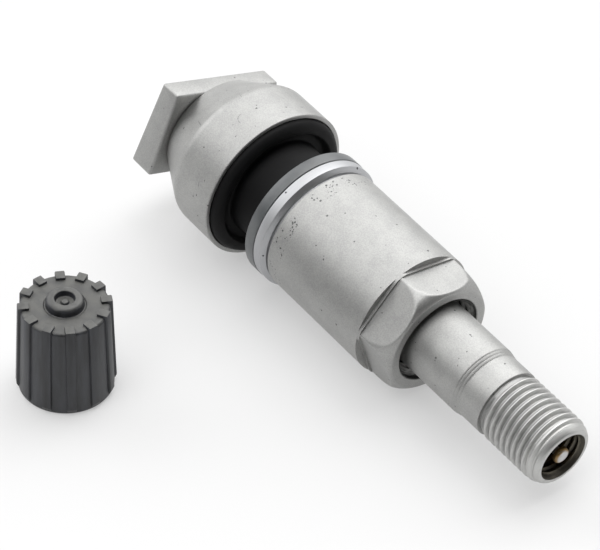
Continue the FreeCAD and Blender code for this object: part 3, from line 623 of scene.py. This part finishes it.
def grey_nylon(name):
    """Turned nylon: dull grey, slightly cloudy, with fine lines from the lathe."""
    material, tree, output, along_valve = start_material(name)
    cloud = add_node(tree, "ShaderNodeTexNoise", {"Vector": along_valve, "Scale": 1 / NYLON_CLOUD_SIZE,
                                                  "Detail": 5.0, "Roughness": 0.65})
    colour = add_node(tree, "ShaderNodeMix", {"Factor": cloud.outputs["Fac"], 6: linear(NYLON_DARK),
                                              7: linear(NYLON_GREY)}, data_type="RGBA")
    lines = tool_lines(tree, along_valve, NYLON_LINE_LENGTH, NYLON_LINE_SPACING, 2.0)
    look = {"Base Color": colour.outputs[2], "Roughness": 0.36, "Specular IOR Level": 1.0, "IOR": 1.53}
    lay_surface(tree, output, look, lines, strength=0.3)
    return material


work = turn_on_lathe([
    (SHANK_RADIUS + SLIP_GAP, RING_BACK, 0),
    (RING_RADIUS, RING_BACK, RING_EDGE),
    (RING_RADIUS, RING_FRONT, RING_EDGE),
    (SHANK_RADIUS + SLIP_GAP, RING_FRONT, 0),
])
nylon = grey_nylon("turned grey nylon")
finish_piece(work, "slip_ring_turned", LAID_DOWN, nylon, "stem", "slip_ring")


# The washer is turned from aluminium and left bright, not blasted. It is held on the nut's
# spigot and turns freely there; its front edge has a chamfer, and a low hub meets the nut.
WASHER_BACK = RING_FRONT + SLIP_GAP
WASHER_THICK = 1.5
WASHER_FRONT = WASHER_BACK + WASHER_THICK
WASHER_RADIUS = 7.64
WASHER_EDGE = 0.06
WASHER_CHAMFER_ACROSS = 0.5
WASHER_CHAMFER_ALONG = 0.4
WASHER_CHAMFER_EDGE = 0.03
HUB_RADIUS = 6.9
HUB_THICK = 0.3
HUB_FRONT = WASHER_FRONT + HUB_THICK
SPIGOT_RADIUS = 6.0
SPIGOT_LIP_RADIUS = 6.5
SPIGOT_LIP_TOP = 20.52
NICK_SPACING = 0.8
NICK_SHARE = 0.1
NICK_SIZE = 0.18
TURNED_LINE_LENGTH = 3.33
TURNED_LINE_SPACING = 0.143
TURNED_LIGHT = "#c0c1c3"
TURNED_DARK = "#acadaf"


def turned_aluminium(name):
    """Turned aluminium: brighter than the blasted, with rings from the lathe tool and dark nicks."""
    material, tree, output, along_valve = start_material(name)
    rings = tool_lines(tree, along_valve, TURNED_LINE_LENGTH, TURNED_LINE_SPACING, 3.0)
    metal = add_node(tree, "ShaderNodeMix", {"Factor": rings, 6: linear(TURNED_DARK),
                                             7: linear(TURNED_LIGHT)}, data_type="RGBA")
    cells = add_node(tree, "ShaderNodeTexVoronoi", {"Vector": along_valve, "Scale": 1 / NICK_SPACING})
    lot = add_node(tree, "ShaderNodeSeparateColor", {"Color": cells.outputs["Color"]})
    chosen = add_node(tree, "ShaderNodeMath", {0: lot.outputs["Red"], 1: NICK_SHARE},
                      operation="LESS_THAN")
    hollow = add_node(tree, "ShaderNodeMath", {0: cells.outputs["Distance"], 1: NICK_SIZE},
                      operation="LESS_THAN")
    nick = add_node(tree, "ShaderNodeMath", {0: chosen.outputs[0], 1: hollow.outputs[0]},
                    operation="MULTIPLY")
    colour = add_node(tree, "ShaderNodeMix", {"Factor": nick.outputs[0], 6: metal.outputs[2],
                                              7: linear(BLASTED_PIT)}, data_type="RGBA")
    look = {"Base Color": colour.outputs[2], "Metallic": 1.0, "Roughness": 0.5}
    lay_surface(tree, output, look, rings, strength=0.4)
    return material


work = turn_on_lathe([
    (SPIGOT_LIP_RADIUS + SLIP_GAP, WASHER_BACK, 0),
    (WASHER_RADIUS, WASHER_BACK, WASHER_EDGE),
    (WASHER_RADIUS, WASHER_FRONT - WASHER_CHAMFER_ALONG, WASHER_CHAMFER_EDGE),
    (WASHER_RADIUS - WASHER_CHAMFER_ACROSS, WASHER_FRONT, WASHER_CHAMFER_EDGE),
    (HUB_RADIUS, WASHER_FRONT, 0),
    (HUB_RADIUS, HUB_FRONT, 0),
    (SPIGOT_RADIUS + SLIP_GAP, HUB_FRONT, 0),
    (SPIGOT_RADIUS + SLIP_GAP, SPIGOT_LIP_TOP + SLIP_GAP, 0),
    (SPIGOT_LIP_RADIUS + SLIP_GAP, SPIGOT_LIP_TOP + SLIP_GAP, 0),
])
bright_aluminium = turned_aluminium("turned aluminium")
finish_piece(work, "washer_turned", LAID_DOWN, bright_aluminium, "washer",
             "nut_washer")


# The sleeve nut is turned from aluminium bar: a long smooth collar whose front end is milled to
# a hexagon and domed over. It is blasted, with a ring of dark pits near its back edge.
SLEEVE_RADIUS = 7.25
SLEEVE_EDGE = 0.12
NUT_BACK = HUB_FRONT + SLIP_GAP
NUT_FRONT = 40.71
HEXAGON_BACK = NUT_FRONT - 4.33
HEXAGON_ACROSS = 12.56
HEXAGON_TURN = math.radians(38.6)
STEP_OUT = 0.25
STEP_LENGTH = 0.3
STEP_EDGE = 0.1
# two rings of points this close together make a square step
RING_APART = 0.001
CROWN_CORNER = NUT_FRONT - 2.22
CROWN_CORNER_ROUND = 1.16
CROWN_SHOULDER = NUT_FRONT - 0.38
CROWN_SHOULDER_RADIUS = 6.674
CROWN_SHOULDER_ROUND = 0.75
NUT_FACE_RADIUS = 6.0
NUT_FACE_EDGE = 0.1
NUT_MOUTH_RADIUS = 5.13
NUT_MOUTH_EDGE = 0.05
NUT_MOUTH_DEPTH = 0.2
NUT_BORE_RADIUS = 5.005
SPIGOT_BACK = 20.12
NUT_THREAD_CREST = 4.46
NUT_THREAD_ROOT = 5.0
NUT_THREAD_END = NUT_FRONT - 0.1
NUT_SINK_RADIUS = 5.03
# outside, the nut's thread is a sleeve in the nut's wall, of these radii at its back and front
NUT_SLEEVE_RADII = (5.01, 5.06)
NUT_PIT_RING = (NUT_BACK + 0.4, NUT_BACK + 2.0)
HEXAGON_STEPS = 480
CROWN_STEPS = 22
EDGE_SOFTNESS = 0.12


def softer_minimum(first, second, softness):
    """The lesser of two lengths, eased over softness where they are nearly equal."""
    blend = max(softness - abs(first - second), 0) / softness
    return min(first, second) - blend * blend * softness / 4


def flat_distance(angle, across):
    """How far out the hexagon's surface lies in the direction of angle."""
    sixth = math.pi / 3
    offsets = [(angle - HEXAGON_TURN + sixth / 2 + sixth * k) % FULL_TURN for k in range(6)]
    offsets = sorted(abs(offset - FULL_TURN if offset > math.pi else offset) for offset in offsets)
    near, beside = (across / 2 / math.cos(offset) for offset in offsets[:2])
    return softer_minimum(near, beside, EDGE_SOFTNESS)


work = turn_on_lathe([
    (SLEEVE_RADIUS, NUT_BACK, SLEEVE_EDGE),
    (SLEEVE_RADIUS, HEXAGON_BACK, 0),
    (SLEEVE_RADIUS, HEXAGON_BACK + RING_APART, 0),
    (SLEEVE_RADIUS, HEXAGON_BACK + STEP_EDGE, 0),
    (SLEEVE_RADIUS, HEXAGON_BACK + STEP_LENGTH, 0),
    (SLEEVE_RADIUS, HEXAGON_BACK + STEP_LENGTH + RING_APART, 0),
    (SLEEVE_RADIUS, CROWN_CORNER, CROWN_CORNER_ROUND),
    (CROWN_SHOULDER_RADIUS, CROWN_SHOULDER, CROWN_SHOULDER_ROUND),
    (NUT_FACE_RADIUS, NUT_FRONT, NUT_FACE_EDGE),
    (NUT_MOUTH_RADIUS, NUT_FRONT, NUT_MOUTH_EDGE),
    (NUT_BORE_RADIUS, NUT_FRONT - NUT_MOUTH_DEPTH, 0),
    (NUT_BORE_RADIUS, SPIGOT_BACK, 0),
    (SPIGOT_LIP_RADIUS, SPIGOT_BACK, 0),
    (SPIGOT_LIP_RADIUS, SPIGOT_LIP_TOP, 0),
    (SPIGOT_RADIUS, SPIGOT_LIP_TOP, 0),
    (SPIGOT_RADIUS, NUT_BACK, 0),
], HEXAGON_STEPS, CROWN_STEPS)
# the six flats are milled: each point past the sleeve is drawn in to the hexagon where it is outside
for tip in work.verts:
    place = tip.co.z
    radius = math.hypot(tip.co.x, tip.co.y)
    if place <= HEXAGON_BACK + TINY or radius < NUT_SINK_RADIUS:
        continue
    milled = HEXAGON_ACROSS
    if place < HEXAGON_BACK + STEP_LENGTH + TINY:
        milled += 2 * STEP_OUT
    kept = flat_distance(math.atan2(tip.co.y, tip.co.x), milled)
    soft = softer_minimum(radius, kept, EDGE_SOFTNESS) if radius > kept - EDGE_SOFTNESS else radius
    tip.co.x *= soft / radius
    tip.co.y *= soft / radius


def nut_limit(radius, place):
    """The nut's thread, opened out by the countersink of its mouth."""
    return max(radius, NUT_SINK_RADIUS - (NUT_THREAD_END - place))


NUT_TOOTH = [(NUT_THREAD_CREST, -0.05), (NUT_THREAD_CREST, 0.05), (NUT_THREAD_ROOT - CREST_EASE, 0.40),
             (NUT_THREAD_ROOT, 0.45), (NUT_THREAD_ROOT, 0.55), (NUT_THREAD_ROOT - CREST_EASE, 0.60)]
thread = bmesh.new()
# the ridges of this thread lie in the grooves of the stem's, so it starts whole pitches away
nut_thread_start = CLAMP_THREAD_START + 2 * CLAMP_PITCH
back_rim, front_rim = cut_thread(thread, NUT_TOOTH, CLAMP_PITCH, nut_thread_start, NUT_THREAD_END,
                                 nut_limit)
back_rim = carry_on(thread, back_rim, NUT_SLEEVE_RADII[0], nut_thread_start)
front_rim = carry_on(thread, front_rim, NUT_SLEEVE_RADII[1], NUT_THREAD_END)
bmesh.ops.bridge_loops(thread, edges=back_rim + front_rim)
nut_aluminium = blasted_aluminium("blasted aluminium of the nut", pits=0.01, pit_ring=NUT_PIT_RING)
finish_piece(work, "sleeve_nut_milled", LAID_DOWN, nut_aluminium, "nut", "sleeve_nut",
             sharp=40)
# painted shade in the roots of the nut's thread, lighter grey on its crests
thread_aluminium = cut_metal("cut aluminium of the nut's thread", NUT_THREAD_ROOT, NUT_THREAD_CREST,
                             ROOT_SHADE_DARK, CREST_GREY, NUT_FRONT)
finish_piece(thread, "nut_thread_cut", LAID_DOWN, thread_aluminium, "nut", "sleeve_nut")


# The valve core is a standard one: a threaded brass plug with a bridge across its top, and a
# brass plated steel pin through it. The pin ends in a round pad at the mouth, rubbed bright.
PLUG_TOP = MOUTH_PLACE - 3.3
PLUG_RADIUS = CORE_CREST_RADIUS - 0.02
PLUG_LENGTH = 3.0
PLUG_EDGE = 0.1
PLUG_STEPS = 64
BRIDGE_LONG = 4.4
BRIDGE_WIDE = 1.5
BRIDGE_TALL = 1.1
BRIDGE_ROOT = 0.55
BRIDGE_EDGE = 0.12
PLUG_HOLE_RADIUS = 1.1
PIN_RADIUS = 0.45
PIN_TOP = MOUTH_PLACE - 0.1
PIN_BACK = PIN_TOP - 14.8
PIN_EDGE = 0.1
PIN_STEPS = 48
PAD_RADIUS = 0.9
PAD_THICK = 0.6
PAD_ROUND = 0.3
PAD_WORN_RADIUS = 0.6
PAD_PLATED_RADIUS = 0.8
CORE_GRAIN_SIZE = 0.333
BRASS_LIGHT = "#d9b26a"
BRASS_DARK = "#b08a48"
BRASS_DULL = "#8a7046"
STEEL_LIGHT = "#c6c6c6"
STEEL_DARK = "#aaaaa9"


def plain_metal(name, light, dark, roughness):
    """Metal of one colour, slightly cloudy."""
    material, tree, output, along_valve = start_material(name)
    cloud = add_node(tree, "ShaderNodeTexNoise", {"Vector": along_valve, "Scale": 1 / CORE_GRAIN_SIZE,
                                                  "Detail": 3.0})
    colour = add_node(tree, "ShaderNodeMix", {"Factor": cloud.outputs["Fac"], 6: linear(dark),
                                              7: linear(light)}, data_type="RGBA")
    look = {"Base Color": colour.outputs[2], "Metallic": 1.0, "Roughness": roughness}
    lay_surface(tree, output, look, cloud.outputs["Fac"], strength=0.3, depth=RELIEF_DEPTH / 2)
    return material


brass = plain_metal("turned brass", BRASS_LIGHT, BRASS_DARK, 0.3)
steel = plain_metal("nickel plated steel", STEEL_LIGHT, STEEL_DARK, 0.35)
work = turn_on_lathe([
    (PLUG_HOLE_RADIUS, PLUG_TOP - PLUG_LENGTH, 0),
    (PLUG_RADIUS, PLUG_TOP - PLUG_LENGTH, PLUG_EDGE),
    (PLUG_RADIUS, PLUG_TOP - BRIDGE_TALL, PLUG_EDGE),
    (PLUG_HOLE_RADIUS, PLUG_TOP - BRIDGE_TALL, 0),
], PLUG_STEPS)
bar = bmesh.ops.create_cube(work, size=1)["verts"]
bar_tall = BRIDGE_TALL + BRIDGE_ROOT
bmesh.ops.scale(work, verts=bar, vec=(BRIDGE_LONG, BRIDGE_WIDE, bar_tall))
bmesh.ops.translate(work, verts=bar, vec=(0, 0, PLUG_TOP - bar_tall / 2))
bar_edges = list({edge for tip in bar for edge in tip.link_edges})
bmesh.ops.bevel(work, geom=bar_edges, offset=BRIDGE_EDGE, offset_type="OFFSET", affect="EDGES",
                segments=2, profile=0.5, clamp_overlap=True, material=-1)
finish_piece(work, "core_plug_turned", LAID_DOWN, brass, "stem", "core_plug")

work = turn_on_lathe([
    (0, PIN_BACK, 0),
    (PIN_RADIUS, PIN_BACK, PIN_EDGE),
    (PIN_RADIUS, PIN_TOP - PAD_THICK, 0),
    (PAD_RADIUS, PIN_TOP - PAD_THICK, PIN_EDGE),
    (PAD_RADIUS, PIN_TOP, PAD_ROUND),
    (0, PIN_TOP, 0),
], PIN_STEPS)
pin_metal = cut_metal("brass plated steel, rubbed bright on the pad", PAD_PLATED_RADIUS,
                      PAD_WORN_RADIUS, BRASS_DULL, STEEL_LIGHT, MOUTH_PLACE)
finish_piece(work, "core_pin_turned", LAID_DOWN, pin_metal, "pin", "core_pin")

# the hidden pieces of the core keep their solids, in the materials of their kind
for node in ("core_barrel", "core_cup"):
    frame["nodes"][node].material_slots[0].material = brass
for node in ("core_gasket", "core_seal", "cap_seal"):
    frame["nodes"][node].material_slots[0].material = black_rubber
frame["nodes"]["core_spring"].material_slots[0].material = steel


# The dust cap is moulded in dark grey plastic. Twelve ribs give the fingers a grip and end in
# raised pads on its top, round a boss with a dimple where the mould was filled.
CAP_HEIGHT = 10.6
CAP_FOOT_RADIUS = 4.93
CAP_TOP_RADIUS = 4.55
CAP_EDGE = 0.35
CAP_FOOT_EDGE = 0.4
CAP_MOUTH_EDGE = 0.1
CAP_THREAD_RADIUS = 3.9
CAP_THREAD_DEPTH = 7.4
CAP_RECESS_RADIUS = 3.5
CAP_RECESS = 0.9
RIB_COUNT = 12
RIB_WIDTH = 1.0
RIB_HEIGHT = 0.2
RIB_EDGE = 0.1
RIB_START = 0.36
RIB_FULL = 0.8
RIB_TURN = math.radians(2.0)
PAD_HEIGHT = 0.3
PAD_LENGTH = 1.15
BOSS_RADIUS = 1.95
BOSS_HEIGHT = 0.85
BOSS_ROUND = 0.5
MOAT_WIDTH = 0.25
MOAT_DEPTH = 0.12
MOAT_EDGE = 0.05
DIMPLE_RADIUS = 1.05
DIMPLE_DEPTH = 0.65
DIMPLE_EDGE = 0.12
NUB_RADIUS = 0.45
NUB_HEIGHT = 0.25
NUB_FOOT_EDGE = 0.08
MOULD_TAPER = 0.1
STREAK_WIDTH = 1.43
STREAK_STRETCH = 0.15
LIGHT_PATCH_SIZE = 1.11
CAP_SKIN_SIZE = 0.2
CAP_DARK = "#131417"
CAP_GREY = "#35373c"
CAP_TOP_LIGHT = "#565653"

cap_mount = Vector(mounts["cap_thread"]["pos_m"])
STOOD_UP = (Matrix.Translation((cap_mount.x, cap_mount.y, 0)) @ Matrix.Rotation(RIB_TURN, 4, "Z")
            @ Matrix.Scale(MM, 4))
boss_top = CAP_HEIGHT + BOSS_HEIGHT
dimple_floor = boss_top - DIMPLE_DEPTH
nub_top = dimple_floor + NUB_HEIGHT
work = turn_on_lathe([
    (CAP_THREAD_RADIUS, 0, CAP_MOUTH_EDGE),
    (CAP_FOOT_RADIUS, 0, CAP_FOOT_EDGE),
    (CAP_TOP_RADIUS, CAP_HEIGHT, CAP_EDGE),
    (BOSS_RADIUS + MOAT_WIDTH, CAP_HEIGHT, MOAT_EDGE),
    (BOSS_RADIUS + MOAT_DEPTH, CAP_HEIGHT - MOAT_DEPTH, MOAT_EDGE),
    (BOSS_RADIUS, CAP_HEIGHT - MOAT_EDGE, MOAT_EDGE),
    (BOSS_RADIUS, boss_top, BOSS_ROUND),
    (DIMPLE_RADIUS, boss_top, DIMPLE_EDGE),
    (DIMPLE_RADIUS - MOULD_TAPER, dimple_floor, DIMPLE_EDGE),
    (NUB_RADIUS, dimple_floor, NUB_FOOT_EDGE),
    (NUB_RADIUS - MOULD_TAPER, nub_top, MOULD_TAPER),
    (0, nub_top, 0),
    (0, CAP_THREAD_DEPTH + CAP_RECESS, 0),
    (CAP_RECESS_RADIUS, CAP_THREAD_DEPTH + CAP_RECESS, 0),
    (CAP_RECESS_RADIUS, CAP_THREAD_DEPTH, 0),
    (CAP_THREAD_RADIUS, CAP_THREAD_DEPTH, CAP_MOUTH_EDGE),
])
rib_foot = CAP_FOOT_RADIUS + RIB_HEIGHT
rib_top = CAP_TOP_RADIUS + RIB_HEIGHT
pad_inside = rib_top - PAD_LENGTH
# a rib and its pad, seen from the side: it starts inside the wall and comes out of it at the foot
side = [
    (pad_inside, CAP_HEIGHT - CAP_EDGE),
    ((CAP_THREAD_RADIUS + CAP_FOOT_RADIUS) / 2, CAP_FOOT_EDGE),
    (CAP_FOOT_RADIUS, RIB_START),
    (rib_foot, RIB_FULL),
    (rib_top, CAP_HEIGHT + PAD_HEIGHT),
    (pad_inside, CAP_HEIGHT + PAD_HEIGHT),
]
for number in range(RIB_COUNT):
    outline = [work.verts.new((radius, -RIB_WIDTH / 2, place)) for radius, place in side]
    flank = work.faces.new(outline)
    swept = bmesh.ops.extrude_face_region(work, geom=[flank])["geom"]
    moved = [item for item in swept if isinstance(item, bmesh.types.BMVert)]
    bmesh.ops.translate(work, verts=moved, vec=(0, RIB_WIDTH, 0))
    block = outline + moved
    block_edges = list({edge for tip in block for edge in tip.link_edges})
    rounded = bmesh.ops.bevel(work, geom=block_edges, offset=RIB_EDGE, offset_type="OFFSET",
                              affect="EDGES", segments=2, profile=0.5, clamp_overlap=True, material=-1)
    turned_tips = list({tip for face in rounded["faces"] for tip in face.verts})
    bmesh.ops.rotate(work, verts=turned_tips, cent=(0, 0, 0),
                     matrix=Matrix.Rotation(FULL_TURN * number / RIB_COUNT, 3, "Z"))


def moulded_cap_plastic(name):
    """Moulded polypropylene: dark grey, satin, faintly streaked from foot to top, and painted
    lighter in patches where it faces up, as light from above.
    """
    material, tree, output, _ = start_material(name)
    object_place = add_node(tree, "ShaderNodeTexCoord").outputs["Object"]
    drawn = add_node(tree, "ShaderNodeMapping", {"Vector": object_place,
                                                 "Scale": (1, 1, STREAK_STRETCH)})
    cloud = add_node(tree, "ShaderNodeTexNoise", {
        "Vector": drawn.outputs["Vector"], "Scale": 1 / (STREAK_WIDTH * MM), "Detail": 4.0,
        "Roughness": 0.6})
    streaks = add_node(tree, "ShaderNodeMapRange", {"Value": cloud.outputs["Fac"], "From Min": 0.35,
                                                    "From Max": 0.65})
    moulded = add_node(tree, "ShaderNodeMix", {"Factor": streaks.outputs[0], 6: linear(CAP_DARK),
                                               7: linear(CAP_GREY)}, data_type="RGBA")
    # faces that point up are painted lighter in patches, as light falls on them from above
    facing = add_node(tree, "ShaderNodeTexCoord").outputs["Normal"]
    upwards = add_node(tree, "ShaderNodeSeparateXYZ", {"Vector": facing}).outputs["Z"]
    patches = add_node(tree, "ShaderNodeTexNoise", {
        "Vector": object_place, "Scale": 1 / (LIGHT_PATCH_SIZE * MM), "Detail": 3.0})
    noisy_lightening = add_node(tree, "ShaderNodeMath", {0: upwards, 1: patches.outputs["Fac"]})
    lightened = add_node(tree, "ShaderNodeMapRange", {"Value": noisy_lightening.outputs[0], "From Min": 0.9,
                                                   "From Max": 1.6})
    colour = add_node(tree, "ShaderNodeMix", {"Factor": lightened.outputs[0], 6: moulded.outputs[2],
                                              7: linear(CAP_TOP_LIGHT)}, data_type="RGBA")
    skin = add_node(tree, "ShaderNodeTexNoise", {
        "Vector": object_place, "Scale": 1 / (CAP_SKIN_SIZE * MM), "Detail": 2.0})
    roughness = add_node(tree, "ShaderNodeMapRange", {"Value": cloud.outputs["Fac"], "To Min": 0.36,
                                                      "To Max": 0.5})
    look = {"Base Color": colour.outputs[2], "Roughness": roughness.outputs[0],
            "Specular IOR Level": 0.6, "IOR": 1.49}
    lay_surface(tree, output, look, skin.outputs["Fac"], strength=0.25)
    return material


cap_plastic = moulded_cap_plastic("moulded grey polypropylene")
finish_piece(work, "dust_cap_moulded", STOOD_UP, cap_plastic, "stem", "dust_cap")


# The stage: a pale paper floor in a dark room, with soft boxes above, behind and at both sides, and
# none beside the camera. The camera looks down as a product photograph does.
FLOOR_SIZE = 3.0
FLOOR_PALE = "#d9d9d9"
WHITE_SHARE = 0.4
floor_mesh = bpy.data.meshes.new("floor")
work = bmesh.new()
bmesh.ops.create_grid(work, x_segments=1, y_segments=1, size=FLOOR_SIZE / 2)
work.to_mesh(floor_mesh)
work.free()
floor = bpy.data.objects.new("floor", floor_mesh)
bpy.context.scene.collection.objects.link(floor)
floor_material = bpy.data.materials.new("pale paper")
floor_material.use_nodes = True
tree = floor_material.node_tree
tree.nodes.clear()
light_path = add_node(tree, "ShaderNodeLightPath")
seen = light_path.outputs["Is Camera Ray"]
for ray in ("Is Glossy Ray", "Is Transmission Ray"):
    seen = add_node(tree, "ShaderNodeMath", {0: seen, 1: light_path.outputs[ray]},
                    operation="MAXIMUM").outputs[0]
share = add_node(tree, "ShaderNodeMath", {0: seen, 1: WHITE_SHARE}, operation="MULTIPLY")
paper = add_node(tree, "ShaderNodeBsdfDiffuse", {"Color": linear(FLOOR_PALE)})
white = add_node(tree, "ShaderNodeEmission", {"Color": (1, 1, 1, 1), "Strength": 1.0})
mixed = add_node(tree, "ShaderNodeMixShader", {0: share.outputs[0], 1: paper.outputs[0],
                                               2: white.outputs[0]})
add_node(tree, "ShaderNodeOutputMaterial", {"Surface": mixed.outputs[0]})
floor_mesh.materials.append(floor_material)

# each soft box is full within 6 degrees of its middle and fades out at 27
SOFT_BOXES = [
    # azimuth, elevation, brightness
    (60, 12, 1.15),
    (120, 12, 0.84),
    (150, 12, 1.10),
    (210, 12, 1.08),
    (90, 35, 1.80),
    (120, 35, 1.45),
    (180, 35, 2.12),
    (210, 35, 1.73),
    (270, 35, 1.49),
    (90, 62, 2.35),
    (135, 62, 1.50),
    (270, 62, 2.28),
    (0, 90, 2.17),
]
BOX_FULL = math.cos(math.radians(6))
BOX_OUTER = math.cos(math.radians(27))
world = bpy.data.worlds.new("studio")
world.use_nodes = True
tree = world.node_tree
tree.nodes.clear()
direction = add_node(tree, "ShaderNodeTexCoord").outputs["Generated"]
glow = 0.0
for azimuth, elevation, brightness in SOFT_BOXES:
    raised = Matrix.Rotation(math.radians(-elevation), 3, "Y") @ Vector((1, 0, 0))
    middle = Matrix.Rotation(math.radians(azimuth), 3, "Z") @ raised
    towards = add_node(tree, "ShaderNodeVectorMath", {0: direction, 1: middle}, operation="DOT_PRODUCT")
    box = add_node(tree, "ShaderNodeMapRange", {
        "Value": towards.outputs["Value"], "From Min": BOX_OUTER, "From Max": BOX_FULL, "To Min": 0.0,
        "To Max": brightness}, interpolation_type="SMOOTHSTEP")
    glow = add_node(tree, "ShaderNodeMath", {0: box.outputs[0], 1: glow}, operation="ADD").outputs[0]
light = add_node(tree, "ShaderNodeBackground", {"Color": (1, 1, 1, 1), "Strength": glow})
add_node(tree, "ShaderNodeOutputWorld", {"Surface": light.outputs[0]})
bpy.context.scene.world = world

AIM = Vector((-10.88, 12.85, 0)) * MM
DISTANCE = 302.9 * MM
AZIMUTH = math.radians(49.75)
ELEVATION = math.radians(41.2)
ROLL = math.radians(3.065)
LENS = 170.06
camera_data = bpy.data.cameras.new("camera")
camera_data.lens = LENS
camera_data.sensor_width = 36
camera = bpy.data.objects.new("camera", camera_data)
looking = (Matrix.Rotation(AZIMUTH, 4, "Z") @ Matrix.Rotation(math.pi / 2 - ELEVATION, 4, "X")
           @ Matrix.Rotation(ROLL, 4, "Z"))
camera.matrix_world = Matrix.Translation(AIM) @ looking @ Matrix.Translation((0, 0, DISTANCE))
bpy.context.scene.collection.objects.link(camera)
bpy.context.scene.camera = camera
bpy.context.scene.view_settings.view_transform = "Standard"
